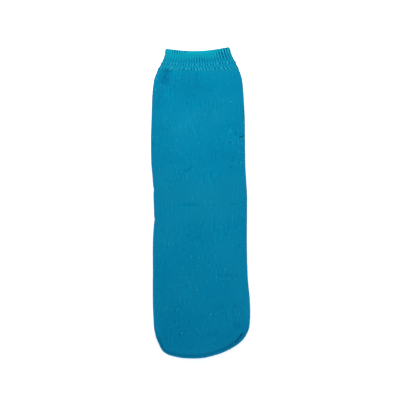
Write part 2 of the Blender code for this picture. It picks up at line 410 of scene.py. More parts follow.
def face_normals(
    face: Callable[[np.ndarray, np.ndarray], np.ndarray],
    across: np.ndarray,
    s: np.ndarray,
    step_mm: float,
) -> np.ndarray:
    """Directions that point up from a face.

    Args:
        face: Gives the face's points at places across it and at distances from the toe tip.
        across: The places across it.
        s: The distances.
        step_mm: How far apart its points are compared.

    Returns:
        An array of (place, xyz).
    """
    step = step_mm * MM
    aside = face(across + step, s) - face(across - step, s)
    ahead = face(across, s + step) - face(across, s - step)
    return unit(np.cross(aside, ahead))


def skin_normals(points: np.ndarray) -> np.ndarray:
    """Directions out of a grid of (ring, place round it, xyz) that runs round from the left.

    Args:
        points: The grid.

    Returns:
        An array of the same shape.
    """
    around = np.roll(points, -1, axis=1) - np.roll(points, 1, axis=1)
    along = np.gradient(points, axis=0)
    return unit(np.cross(around, along))


def plan_distance(points: np.ndarray, line: np.ndarray) -> tuple[np.ndarray, np.ndarray]:
    """Distance of points from a line, seen from above.

    Args:
        points: An array of (..., xy).
        line: The line's corners, as an array of (corner, xy).

    Returns:
        The distance of each point, and its share along the line from 0 to 1.
    """
    best = np.full(points.shape[:-1], np.inf)
    share = np.zeros(points.shape[:-1])
    count = max(len(line) - 1, 1)
    for i in range(count):
        start = line[i]
        run = line[min(i + 1, len(line) - 1)] - start
        t = np.clip(((points - start) @ run) / max(float(run @ run), TINY), 0.0, 1.0)
        away = np.linalg.norm(points - start - t[..., None] * run, axis=-1)
        nearer = away < best
        best = np.where(nearer, away, best)
        share = np.where(nearer, (i + t) / count, share)
    return best, share


# Meshes


@dataclass
class PieceMesh:
    """Points and faces of one piece, gathered before Blender makes its mesh."""

    points: list[np.ndarray] = field(default_factory=list)
    faces: list[Sequence[int]] = field(default_factory=list)
    corners: list[np.ndarray] = field(default_factory=list)
    hollows: list[np.ndarray] = field(default_factory=list)
    count: int = 0

    def add_points(self, points: np.ndarray, hollow: np.ndarray | float = 0.0) -> np.ndarray:
        """Adds points, none of them below the floor.

        Args:
            points: An array of (..., xyz).
            hollow: Painted shade at each point: 1 as at the bottom of a fold or between ribs, 0 on
            the plain cloth and below 0 a painted highlight, as on a crest. A dark nep gives 1
            for its own darker tone.

        Returns:
            Their numbers, in an array of the same shape without xyz.
        """
        flat = points.reshape(-1, 3).copy()
        flat[:, 2] = np.maximum(flat[:, 2], 0.0)
        shape = points.shape[:-1]
        numbers = np.arange(self.count, self.count + len(flat)).reshape(shape)
        self.points.append(flat)
        self.hollows.append(np.broadcast_to(hollow, shape).reshape(-1))
        self.count += len(flat)
        return numbers

    def add_faces(self, faces: np.ndarray, corners: np.ndarray | None = None) -> None:
        """Adds faces of as many corners each, with a texture place for each corner.

        Args:
            faces: Point numbers by (face, corner).
            corners: Texture places by (face, corner, uv).
        """
        if corners is None:
            corners = np.zeros((*faces.shape, 2))
        self.faces.extend(faces.tolist())
        self.corners.append(corners.reshape(-1, 2))

    def add_skin(self, numbers: np.ndarray, corners: np.ndarray | None = None) -> None:
        """Bridges a grid of rings that close round.

        Args:
            numbers: Points by (ring, place round it).
            corners: Texture places by (face ring, face, corner, uv).
        """
        after = np.roll(numbers, -1, axis=1)
        faces = np.stack((numbers[:-1], after[:-1], after[1:], numbers[1:]), axis=-1)
        self.add_faces(faces.reshape(-1, 4), corners)

    def add_fan(self, ring: np.ndarray, tip: int) -> None:
        """Closes a ring to one point."""
        after = np.roll(ring, -1)
        self.add_faces(np.stack((ring, np.full_like(ring, tip), after), axis=-1))

    def build(
        self, name: str, material: bpy.types.Material, slot: Slot, *nodes: str
    ) -> bpy.types.Object:
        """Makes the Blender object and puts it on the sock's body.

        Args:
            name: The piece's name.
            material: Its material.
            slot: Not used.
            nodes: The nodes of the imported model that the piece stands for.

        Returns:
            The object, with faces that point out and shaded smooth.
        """
        mesh = bpy.data.meshes.new(name)
        mesh.from_pydata(np.vstack(self.points).tolist(), [], self.faces)
        layer = mesh.uv_layers.new(name="knit")
        layer.data.foreach_set("uv", np.vstack(self.corners).astype(np.float32).ravel())
        # The hollow attribute carries the painted shade and painted highlight that the materials
        # mix into the colour, and the dark neps' own tone
        hollow = mesh.attributes.new("hollow", "FLOAT", "POINT")
        hollow.data.foreach_set("value", np.concatenate(self.hollows).astype(np.float32))
        solid = bmesh.new()
        solid.from_mesh(mesh)
        bmesh.ops.recalc_face_normals(solid, faces=solid.faces)
        solid.to_mesh(mesh)
        solid.free()
        mesh.shade_smooth()
        mesh.materials.append(material)
        piece = bpy.data.objects.new(name, mesh)
        bpy.context.scene.collection.objects.link(piece)
        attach(piece, BODY)
        if nodes:
            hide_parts(*nodes)
        return piece


def grid_corners(u: np.ndarray, v: np.ndarray) -> np.ndarray:
    """Texture places of each cell's four corners, from u round the rings and v for each.

    Args:
        u: Places round, for all rings or by ring.
        v: A place along for each ring.

    Returns:
        An array of (face ring, face, corner, uv).
    """
    places = np.stack(np.broadcast_arrays(u, v[:, None]), axis=-1)
    cells = (places[:-1, :-1], places[:-1, 1:], places[1:, 1:], places[1:, :-1])
    return np.stack(cells, axis=-2)


def ball_points(segments: int, bands: int) -> np.ndarray:
    """A ball of radius 1: its lowest point, its rings and its highest point.

    Args:
        segments: Places round each of its rings.
        bands: Strips from its lowest to its highest point.

    Returns:
        An array of (point, xyz).
    """
    tilt = np.linspace(-math.pi / 2, math.pi / 2, bands + 1)[1:-1, None]
    turn = np.linspace(0, 2 * math.pi, segments, endpoint=False)
    across, along = np.cos(tilt) * np.cos(turn), np.cos(tilt) * np.sin(turn)
    rings = np.stack(np.broadcast_arrays(across, along, np.sin(tilt)), axis=-1)
    return np.vstack(([[0, 0, -1.0]], rings.reshape(-1, 3), [[0, 0, 1.0]]))


def add_ball(
    piece: PieceMesh, points: np.ndarray, segments: int, hollow: float = 0.0
) -> None:
    """Adds a closed ball whose points come in the order of ball_points.

    Args:
        piece: The mesh so far.
        points: The ball's points.
        segments: Places round each of its rings.
        hollow: Its painted shade, as in add_points; a dark nep gives 1 for its own darker tone.
    """
    numbers = piece.add_points(points, hollow)
    rings = numbers[1:-1].reshape(-1, segments)
    piece.add_skin(rings)
    piece.add_fan(rings[0], numbers[0])
    piece.add_fan(rings[-1], numbers[-1])


def add_tube(
    piece: PieceMesh,
    line: np.ndarray,
    radii: np.ndarray | float,
    first: np.ndarray,
    second: np.ndarray,
    sides: int,
) -> None:
    """Adds a thin closed tube.

    Args:
        piece: The mesh so far.
        line: The tube's middle, by (ring, xyz).
        radii: Its radius, or one for each ring.
        first: A direction across it, for all rings or for each.
        second: The other direction across it.
        sides: How many sides it has.
    """
    turn = np.linspace(0, 2 * math.pi, sides, endpoint=False)[:, None]
    first, second = (np.broadcast_to(way, line.shape)[:, None] for way in (first, second))
    circle = np.cos(turn) * first + np.sin(turn) * second
    rings = piece.add_points(line[:, None] + circle * np.reshape(radii, (-1, 1, 1)))
    piece.add_skin(rings)
    piece.add_faces(np.array([rings[0], rings[-1][::-1]]))


# Finishes


@dataclass(frozen=True)
class NodeSheet:
    """The shader nodes of one material."""

    material: bpy.types.Material

    @classmethod
    def start(cls, name: str) -> "NodeSheet":
        """A sheet for a new material of this name.

        Args:
            name: The material's name.

        Returns:
            The sheet.
        """
        material = bpy.data.materials.new(name)
        material.use_nodes = True
        return cls(material)

    def add(
        self, kind: str, *values: Any, out: int | str = 0, **settings: Any
    ) -> bpy.types.NodeSocket:
        """Adds a node with its settings and links.

        Args:
            kind: The node's type without its ShaderNode.
            values: Values or output sockets for its first inputs in order, or one dict of them
                by name or number.
            out: The output that is wanted.
            settings: Properties of the node.

        Returns:
            That output.
        """
        node = self.material.node_tree.nodes.new("ShaderNode" + kind)
        for name, value in settings.items():
            setattr(node, name, value)
        named = values[0] if values and isinstance(values[0], dict) else dict(enumerate(values))
        self.set_inputs(node, named)
        return node.outputs[out]

    def set_inputs(self, node: bpy.types.Node, inputs: dict[int | str, Any]) -> None:
        """Links the inputs whose values are sockets and sets the others.

        Args:
            node: The node.
            inputs: Values or output sockets, by the input's name or number.
        """
        for socket, value in inputs.items():
            if isinstance(value, bpy.types.NodeSocket):
                self.material.node_tree.links.new(value, node.inputs[socket])
            else:
                node.inputs[socket].default_value = value

    def finish(self, inputs: dict[int | str, Any]) -> bpy.types.Material:
        """Sets the surface shader and returns the material."""
        self.set_inputs(self.material.node_tree.nodes["Principled BSDF"], inputs)
        return self.material


@dataclass(frozen=True)
class TerryKnit:
    """Plain-stitch face of a terry knit in dyed cotton and polyester yarn.

    Yarn scatters light in its depth, so the eye sees a matt, even teal with faint upright wales,
    a few streaks where the yarn took the dye unevenly, and no glossy highlight. The wales show by
    shade painted into their grooves; folds get painted shade and crests a painted highlight.
    """

    name: str = "teal_terry_knit"
    colour: str = "#04769e"
    # colour of the painted shade in folds, grooves and pits; the dark neps of the pilled fibre
    # take it as their own tone
    shade_and_nep_colour: str = "#035a82"
    nap_colour: str = "#0e86a4"
    # colour of the painted highlight on crests and ridges
    painted_highlight_colour: str = "#2aa0b4"
    ior: float = 1.53  # cotton and polyester fibre
    roughness: float = 0.95
    specular: float = 0.06  # loose fibre scatters nearly all of the surface's own gloss
    sheen: float = 0.05
    wales: int = 98
    courses_mm: float = 1.4
    streak: float = 0.15
    streak_courses: float = 3.4
    wander: float = 0.9
    # painted shade in the grooves between the wales, and lighter wale middles
    groove: float = 0.26
    groove_range: tuple[float, float] = (0.42, 0.66)
    toe_courses: tuple[float, float] = (14.0, 36.0)  # the wales fade towards the toe
    least_toe: float = 0.35
    cloud: float = 0.14
    cloud_mm: float = 45.0
    patch_mm: float = 20.0
    patch_range: tuple[float, float] = (0.42, 0.58)
    least_patch: float = 0.05
    # share of the painted highlight colour on a crest
    crest: float = 0.35
    bump: float = 0.6
    bump_mm: float = 0.22
    arm_rise: float = 1.6  # courses that the arms of a stitch rise over
    stitch: float = 0.3
    nap_mm: float = 0.7  # fibre tufts are about 0.1 mm, drawn coarser to show

    def yarn(
        self, sheet: NodeSheet, along: bpy.types.NodeSocket
    ) -> tuple[float, ...] | bpy.types.NodeSocket:
        """Colour of the dyed yarn, the same all over or by its place along the knit."""
        return linear(self.colour)

    def material(self, length: float) -> bpy.types.Material:
        """Makes the material for a sock of this length.

        Args:
            length: The length that its courses run along.

        Returns:
            The material.
        """
        sheet = NodeSheet.start(self.name)
        places = sheet.add("UVMap", uv_map="knit")
        across = sheet.add("SeparateXYZ", places)
        along = across.node.outputs["Y"]
        wale = sheet.add("Math", across, float(self.wales), operation="MULTIPLY")
        course = sheet.add("Math", along, length / (self.courses_mm * MM), operation="MULTIPLY")
        body = sheet.add("TexCoord", out="Object")
        nap, clouds, patches = (
            sheet.add("TexNoise", {"Vector": body, "Scale": 1 / (cell * MM), "Detail": detail})
            for cell, detail in ((self.nap_mm, 3.0), (self.cloud_mm, 2.0), (self.patch_mm, 1.0))
        )
        shade = self._shade(sheet, wale, course, clouds, patches)
        # The hollow attribute mixes in the painted highlight on crests, then the painted shade in
        # folds, grooves and pits
        hollow = sheet.add("Attribute", attribute_name="hollow", out="Fac")
        crest = sheet.add("MapRange", hollow, 0.0, -1.0, 0.0, self.crest)
        colour = self.yarn(sheet, along)
        for share, tint in ((crest, self.painted_highlight_colour), (hollow, self.shade_and_nep_colour)):
            tones = {0: share, 6: colour, 7: linear(tint)}
            colour = sheet.add("Mix", tones, data_type="RGBA", out=2)
        relief = sheet.add("Math", self._stitches(sheet, wale, course), nap, operation="ADD")
        bump = {"Strength": self.bump, "Distance": self.bump_mm * MM, "Height": relief}
        toned = {0: colour, "Scale": shade}
        return sheet.finish(
            {
                "Base Color": sheet.add("VectorMath", toned, operation="SCALE"),
                "Normal": sheet.add("Bump", bump),
                "IOR": self.ior,
                "Roughness": self.roughness,
                "Specular IOR Level": self.specular,
                "Specular Tint": linear(self.nap_colour),
                "Sheen Weight": self.sheen,
                "Sheen Tint": linear(self.nap_colour),
            }
        )

    def _shade(
        self,
        sheet: NodeSheet,
        wale: bpy.types.NodeSocket,
        course: bpy.types.NodeSocket,
        clouds: bpy.types.NodeSocket,
        patches: bpy.types.NodeSocket,
    ) -> bpy.types.NodeSocket:
        """Brightness about 1: wales drawn as painted shade in their grooves, and streaks, stronger
        in some patches, and faint clouds.

        Args:
            sheet: The material's nodes.
            wale: Each spot's wale number.
            course: Each spot's course number.
            clouds: Broad noise for the clouds.
            patches: Smaller noise for the patches.

        Returns:
            The output that holds it.
        """
        slow = sheet.add("Math", course, 1 / self.streak_courses, operation="MULTIPLY")
        strip = sheet.add("CombineXYZ", wale, slow)
        yarn = sheet.add("TexNoise", {"Vector": strip, "Scale": 1.0}, noise_dimensions="2D")
        even = sheet.add("MapRange", patches, *self.patch_range, self.least_patch, 1.0)
        broken = sheet.add("MapRange", yarn, *self.groove_range, 0.0, self.groove)
        toe = sheet.add("MapRange", course, *self.toe_courses, self.least_toe, 1.0)
        broken = sheet.add("Math", broken, toe, operation="MULTIPLY")
        depth = sheet.add("Math", even, broken, operation="MULTIPLY")
        # the wave across the wales: painted shade in their grooves and lighter middles
        bent = sheet.add("Math", yarn, self.wander, wale, operation="MULTIPLY_ADD")
        turn = sheet.add("Math", bent, 2 * math.pi, operation="MULTIPLY")
        wave = sheet.add("Math", turn, operation="COSINE")
        spread = sheet.add("Math", yarn, 2 * self.streak, -self.streak, operation="MULTIPLY_ADD")
        rows = sheet.add("Math", spread, even, 1.0, operation="MULTIPLY_ADD")
        wales = sheet.add("Math", wave, depth, rows, operation="MULTIPLY_ADD")
        level = 1 - self.cloud / 2
        clouds = sheet.add("Math", clouds, self.cloud, level, operation="MULTIPLY_ADD")
        return sheet.add("Math", wales, clouds, operation="MULTIPLY")

    def _stitches(
        self, sheet: NodeSheet, wale: bpy.types.NodeSocket, course: bpy.types.NodeSocket
    ) -> bpy.types.NodeSocket:
        """Relief of the stitches: each is a V whose arms rise to both sides of its wale.

        Args:
            sheet: The material's nodes.
            wale: Each spot's wale number.
            course: Each spot's course number.

        Returns:
            The output that holds it.
        """
        spot = sheet.add("Math", wale, operation="FRACT")
        offset = sheet.add("Math", spot, 0.5, operation="SUBTRACT")
        arm = sheet.add("Math", offset, operation="ABSOLUTE")
        lift = sheet.add("Math", arm, self.arm_rise, course, operation="MULTIPLY_ADD")
        turn = sheet.add("Math", lift, 2 * math.pi, operation="MULTIPLY")
        wave = sheet.add("Math", turn, operation="SINE")
        return sheet.add("Math", wave, self.stitch, operation="MULTIPLY")


@dataclass(frozen=True)
class ElasticRib(TerryKnit):
    """Mock rib knitted with covered elastic thread.

    The elastic pulls it in, and the grooves between its ribs get painted shade. The turned welt
    at the mouth is stretched smooth, and painted lighter for the light that falls on it.
    """

    name: str = "teal_elastic_rib"
    colour: str = "#05779b"
    # the welt's colour: painted lighter for the light that falls on the welt
    welt_painted_light_colour: str = "#088ca6"
    # colour of the painted shade in the ribs' grooves and in the holes between the stitches
    shade_and_nep_colour: str = "#034a78"
    nap_colour: str = "#12a0b8"
    # colour of the painted highlight on the ribs' crests and on the stitches
    painted_highlight_colour: str = "#28a8c6"
    wales: int = 116
    courses_mm: float = 1.1
    streak: float = 0.10
    # painted shade in the grooves between the rib's wales
    groove: float = 0.10
    cloud: float = 0.06
    # share of the painted highlight colour on a crest
    crest: float = 0.75
    bump_mm: float = 0.16
    # where the welt's painted light fades in, as shares of the cuff's length
    fade_start: float = 0.50
    fade_end: float = 0.84

    def yarn(self, sheet: NodeSheet, along: bpy.types.NodeSocket) -> bpy.types.NodeSocket:
        """Colour of the yarn, from the foot of the cuff to its welt, which is painted lighter for
        the light that falls on it.

        Args:
            sheet: The material's nodes.
            along: Each spot's share of the cuff's length.

        Returns:
            The output that holds it.
        """
        fade = sheet.add("MapRange", along, self.fade_start, self.fade_end)
        tones = {0: fade, 6: linear(self.colour), 7: linear(self.welt_painted_light_colour)}
        return sheet.add("Mix", tones, data_type="RGBA", out=2)


@dataclass(frozen=True)
class LinkedYarn(TerryKnit):
    """The yarn that links the toe shut: two plies, pulled tight, and painted a little darker
    for the shade of the groove that it lies in.
    """

    name: str = "teal_linking_yarn"
    # a little darker than the knit: painted shade of the seam's groove
    colour: str = "#047296"
    groove: float = 0.0


@dataclass(frozen=True)
class GripPrint:
    """Soft vinyl printed on the knit as a paste and cured in an oven.

    It sets satin white with a skin that shows the cloth below as a faint orange peel.
    """

    name: str = "cured_vinyl_print"
    colour: str = "#f1f2f0"
    dust_colour: str = "#dfe4e3"
    ior: float = 1.54
    roughness: float = 0.45
    peel: float = 0.35
    peel_mm: float = 1.6
    peel_depth_mm: float = 0.15

    def material(self) -> bpy.types.Material:
        """Makes the material.

        Returns:
            The material.
        """
        sheet = NodeSheet.start(self.name)
        body = sheet.add("TexCoord", out="Object")
        peel = sheet.add("TexNoise", {"Vector": body, "Scale": 1 / (self.peel_mm * MM)})
        tones = {0: peel, 6: linear(self.colour), 7: linear(self.dust_colour)}
        bump = {"Strength": self.peel, "Distance": self.peel_depth_mm * MM, "Height": peel}
        return sheet.finish(
            {
                "Base Color": sheet.add("Mix", tones, data_type="RGBA", out=2),
                "Normal": sheet.add("Bump", bump),
                "IOR": self.ior,
                "Roughness": self.roughness,
            }
        )


@dataclass(frozen=True)
class LightTable:
    """Opal acrylic sheet, sanded matt and lit from below as well as from above.

    It shows a plain white with no grain and next to no shadow.
    """

    name: str = "opal_acrylic_sheet"
    colour: str = "#fbfbfb"
    ior: float = 1.49
    roughness: float = 0.9
    specular: float = 0.2
    glow: float = 0.45
    grain: float = 0.05
    grain_mm: float = 3.0
    grain_depth_mm: float = 0.1

    def material(self) -> bpy.types.Material:
        """Makes the material.

        Returns:
            The material.
        """
        sheet = NodeSheet.start(self.name)
        body = sheet.add("TexCoord", out="Object")
        grain = sheet.add("TexNoise", {"Vector": body, "Scale": 1 / (self.grain_mm * MM)})
        bump = {"Strength": self.grain, "Distance": self.grain_depth_mm * MM, "Height": grain}
        return sheet.finish(
            {
                "Base Color": linear(self.colour),
                "Normal": sheet.add("Bump", bump),
                "IOR": self.ior,
                "Roughness": self.roughness,
                "Specular IOR Level": self.specular,
                "Emission Color": linear(self.colour),
                "Emission Strength": self.glow,
            }
        )


# Relief of the cloth

FOLD_TAPER = 4  # the higher, the shorter the ends over which a fold runs out


@dataclass(frozen=True)
class Fold:
    """A soft trough on the upper side, or a ridge where its depth is below zero.

    Its line holds places by share of half the width and by distance from the toe tip in mm.
    """

    line: tuple[tuple[float, float], ...]
    width_mm: float
    depth_mm: float

    def depth(self, form: SockForm, points: np.ndarray) -> np.ndarray:
        """How far it sinks the cloth at each point.

        Args:
            form: The sock's form.
            points: The points, by (..., xyz).

        Returns:
            The depth in metres, below zero for a ridge.
        """
        line = np.array([(x * form.width / 2, y * MM - form.length / 2) for x, y in self.line])
        away, share = plan_distance(points[..., :2], line)
        taper = 1.0
        if len(line) > 1:
            taper = 1 - np.abs(2 * share - 1) ** FOLD_TAPER
        return self.depth_mm * MM * hump(away, self.width_mm * MM) * taper


FOLDS = (
    # The hollow under the left of the cuff, and its tail down the leg
    Fold(((-0.67, 298.0), (-0.71, 289.0), (-0.79, 279.0)), 5.6, 1.9),
    Fold(((-0.78, 286.0), (-0.83, 268.0), (-0.87, 252.0)), 4.4, 0.9),
    # Broad dips and swells of the slack leg and foot
    Fold(((-0.80, 278.0), (0.85, 278.0)), 11.0, 0.5),
    Fold(((-0.56, 228.0), (0.10, 257.0)), 5.5, -0.4),
    Fold(((0.30, 255.0), (0.36, 238.0)), 6.0, -0.45),
    Fold(((0.42, 237.0), (0.85, 236.0)), 5.0, 0.35),
    Fold(((0.15, 211.0), (0.90, 205.0)), 6.0, 0.35),
    Fold(((-0.80, 162.0), (0.85, 158.0)), 18.0, -0.35),
    Fold(((-0.66, 200.0), (-0.66, 150.0)), 14.0, -0.40),
    Fold(((0.74, 190.0), (0.74, 140.0)), 13.0, -0.40),
    Fold(((-0.80, 144.5), (0.85, 143.5)), 7.0, -0.30),
    Fold(((0.78, 100.0), (0.80, 58.0)), 10.0, -0.35),
    Fold(((0.32, 92.0), (0.34, 54.0)), 9.0, -0.30),
    Fold(((-0.05, 24.0), (0.40, 25.0)), 4.0, 0.35),
    # Short creases under the cuff
    Fold(((-0.08, 297.0), (-0.08, 276.0)), 1.4, 0.35),
    Fold(((0.12, 274.6), (0.28, 274.2)), 1.0, 0.5),
    Fold(((-0.38, 268.6), (-0.06, 268.0)), 1.1, 0.35),
    Fold(((0.36, 263.2), (0.69, 262.6)), 0.9, -0.35),
    # The dent at the right side of the leg, cut by a slanting crease
    Fold(((0.66, 231.0), (0.90, 227.0)), 3.2, 0.3),
    Fold(((0.66, 230.0), (0.78, 227.4)), 1.0, 0.3),
    Fold(((0.785, 226.8), (0.865, 226.6)), 0.8, 1.5),
    Fold(((0.76, 231.5), (0.84, 233.5)), 1.6, -0.3),
    Fold(((0.79, 225.2), (0.87, 225.4)), 0.8, -0.5),
    Fold(((0.575, 221.6), (0.615, 221.2)), 0.8, 0.8),
    Fold(((0.34, 218.4), (0.38, 218.2)), 0.9, 0.5),
    # Creases of the foot, from the heel to the toes
    Fold(((-0.86, 235.0), (-0.64, 233.8)), 1.0, 0.5),
    Fold(((-0.33, 190.0), (-0.13, 197.0)), 1.3, 0.6),
    Fold(((-0.74, 182.4), (-0.43, 181.2)), 1.0, 0.4),
    Fold(((-0.46, 157.6), (-0.01, 156.4)), 1.6, 0.65),
    Fold(((0.59, 158.4), (0.74, 157.6)), 1.2, 0.45),
    Fold(((-0.79, 133.0), (-0.75, 129.0)), 1.6, 0.5),
    Fold(((0.75, 116.0), (0.80, 114.0)), 1.8, 0.6),
    Fold(((0.32, 85.4), (0.78, 84.6)), 1.1, 0.35),
    Fold(((0.37, 82.0), (0.66, 81.4)), 1.0, -0.3),
    Fold(((0.66, 36.0), (0.82, 32.0)), 3.0, 0.9),
    # Small holes where a stitch is pulled
    Fold(((0.690, 54.2),), 0.9, 0.9),
    Fold(((0.507, 126.8),), 0.8, 0.8),
    Fold(((-0.213, 86.1),), 0.8, 0.8),
)

# Nips in the left outline, by distance from the toe tip in mm
LEFT_NIPS_MM = (173.6, 142.7)


@dataclass(frozen=True)
class ClothRelief:
    """Everything that lifts or sinks the knit from the plain form, wales apart."""

    form: SockForm
    upper_fade: tuple[float, float] = (1.04, 0.94)  # of the way from the crown to the side
    nip_depth_mm: float = 0.9
    nip_reach_mm: float = 2.6
    wave_mm: float = 0.22
    # Waves of slack: length over 2 pi in mm across and along the sock, and where each starts
    waves: tuple[tuple[float, float, float], ...] = ((9.1, 23.0, 0.6), (14.7, -12.3, 2.1))
    bend: float = 0.8  # a wave whose crests cross the sock and bend, as a share of the others
    bend_along_mm: float = 9.7
    bend_across_mm: float = 17.0
    gathers: int = 26
    gather_drift: float = 1.7
    gather_bends: float = 9.0
    gather_mm: float = 0.10
    gather_fade_mm: float = 16.0
    gather_start_mm: float = 2.0
    groove_mm: float = 1.9
    groove_width_mm: float = 1.2
    groove_least: float = 0.12
    groove_deepens: tuple[float, float] = (0.50, 0.96)  # from its left end to its right
    groove_power: int = 6
    puff_mm: float = 0.5
    puff_width_mm: float = 2.4
    puff_inset_mm: float = 3.9
    roll_mm: float = 0.35
    roll_width_mm: float = 1.0
    roll_inset_mm: float = -2.3  # outside the groove
    least_puff: float = 0.15
    seam_ends: tuple[float, float] = (0.10, 0.96)  # the relief runs out beyond these
    seam_steps: int = 61
    # Painted shade from the relief's height, and painted highlight on its ridges
    full_shade_mm: float = 3.0
    slack_shade: float = 0.05  # taken off everywhere, so plain cloth is a little light
    ridge_shade: float = -0.5
    # Painted shade along the side fold, strongest at the toe
    fold_width_mm: float = 3.0
    least_fold: float = 0.22
    toe_fold_mm: tuple[float, float] = (34.0, 17.0)  # the fold's shade grows over this

    def lift(self, points: np.ndarray, shares: np.ndarray, s: np.ndarray) -> np.ndarray:
        """Height of the relief over the plain form.

        Args:
            points: The skin's points by (ring, place round it, xyz).
            shares: Each place round, as a share of the half girth.
            s: Each ring's distance from the toe tip.

        Returns:
            The height by (ring, place round it), below zero in a hollow.
        """
        half_girth, to_side = self.form.girths(s)
        edge = (to_side / half_girth)[:, None]
        start, full = self.upper_fade
        upper = ramp(np.abs(shares), start * edge, full * edge)
        height = self._waves(points) + self._gathers(shares, s)
        height = height - sum(fold.depth(self.form, points) for fold in FOLDS) * upper
        height = height + self._toe(points, s) * upper
        return height - self._nips(points)

    def hollow(self, lift: np.ndarray) -> np.ndarray:
        """Painted shade from a height: 1 deep in a crease, below 0 a painted highlight on a ridge.
        """
        shade = -lift / (self.full_shade_mm * MM) - self.slack_shade
        return np.clip(shade, self.ridge_shade, 1.0)

    def side_shade(self, shares: np.ndarray, s: np.ndarray) -> np.ndarray:
        """Painted shade along the side fold, where the cloth turns under; strongest at the toe.

        Args:
            shares: Places round the section, as shares of its half girth.
            s: Distances from the toe tip.

        Returns:
            The shade by (ring, place round it).
        """
        half_girth, to_side = self.form.girths(s)
        away = np.abs(shares) * half_girth[:, None] - to_side[:, None]
        toe = above(self.least_fold, ramp(s / MM, *self.toe_fold_mm))
        return toe[:, None] * hump(away, self.fold_width_mm * MM)

    def _waves(self, points: np.ndarray) -> np.ndarray:
        """Slack of the cloth: broad, shallow waves.

        Args:
            points: The plain skin's points, by (ring, place round it, xyz).

        Returns:
            The height at each point.
        """
        x, y = points[..., 0] / MM, points[..., 1] / MM
        wave = sum(np.sin(x / across + y / along + start) for across, along, start in self.waves)
        bend = np.sin(y / self.bend_along_mm + np.sin(x / self.bend_across_mm))
        return self.wave_mm * MM * (wave + self.bend * bend) / 2

    def _gathers(self, shares: np.ndarray, s: np.ndarray) -> np.ndarray:
        """Ripples where the elastic draws the knit in below the cuff.

        Args:
            shares: Places round the section, as shares of its half girth.
            s: Distances from the toe tip.

        Returns:
            The height by (ring, place round it).
        """
        below = (self.form.cuff_start - s) / MM
        fade = hump(below, self.gather_fade_mm) * ramp(below, 0.0, self.gather_start_mm)
        drift = self.gather_drift * np.sin(shares * self.gather_bends)
        ripple = np.sin(shares * math.pi * self.gathers + drift)
        return self.gather_mm * MM * fade[:, None] * ripple

    def seam_sink(self, share: np.ndarray) -> np.ndarray:
        """Depth of the toe seam's groove in mm, by its share from the left end to the right."""
        deep = ramp(share, *self.groove_deepens) ** self.groove_power
        return self.groove_mm * above(self.groove_least, deep)

    def _toe(self, points: np.ndarray, s: np.ndarray) -> np.ndarray:
        """The groove that the toe seam lies in, the pad of cloth inside it and the roll outside.

        Args:
            points: The plain skin's points, by (ring, place round it, xyz).
            s: Distances from the toe tip.

        Returns:
            The height at each point.
        """
        height = np.zeros(points.shape[:-1])
        near = s < 2 * self.form.seam_span
        t = np.linspace(-1, 1, self.seam_steps)
        first, last = self.seam_ends
        for inset_mm, width_mm, rise_mm in (
            (0.0, self.groove_width_mm, None),
            (self.puff_inset_mm, self.puff_width_mm, self.puff_mm),
            (self.roll_inset_mm, self.roll_width_mm, self.roll_mm),
        ):
            x, along = self.form.seam_places(t, inset_mm * MM)
            line = np.stack((x, along - self.form.length / 2), axis=-1)
            away, share = plan_distance(points[near, :, :2], line)
            if rise_mm is None:
                rise = -self.seam_sink(share)
            else:
                rise = rise_mm * above(self.least_puff, share)
            rise = rise * ramp(share, 0.0, first) * ramp(share, 1.0, last)
            height[near] += rise * MM * hump(away, width_mm * MM)
        return height

    def _nips(self, points: np.ndarray) -> np.ndarray:
        """Two small nips in the left outline.

        Args:
            points: The plain skin's points, by (ring, place round it, xyz).

        Returns:
            The depth at each point.
        """
        depth = np.zeros(points.shape[:-1])
        for along_mm in LEFT_NIPS_MM:
            sec = self.form.sections(np.array([along_mm * MM]))
            x, y = sec.middle[0] - sec.half[0], along_mm * MM - self.form.length / 2
            away = np.linalg.norm(points - np.array([x, y, sec.waist[0]]), axis=-1)
            depth += self.nip_depth_mm * MM * hump(away, self.nip_reach_mm * MM)
        return depth


# Pieces


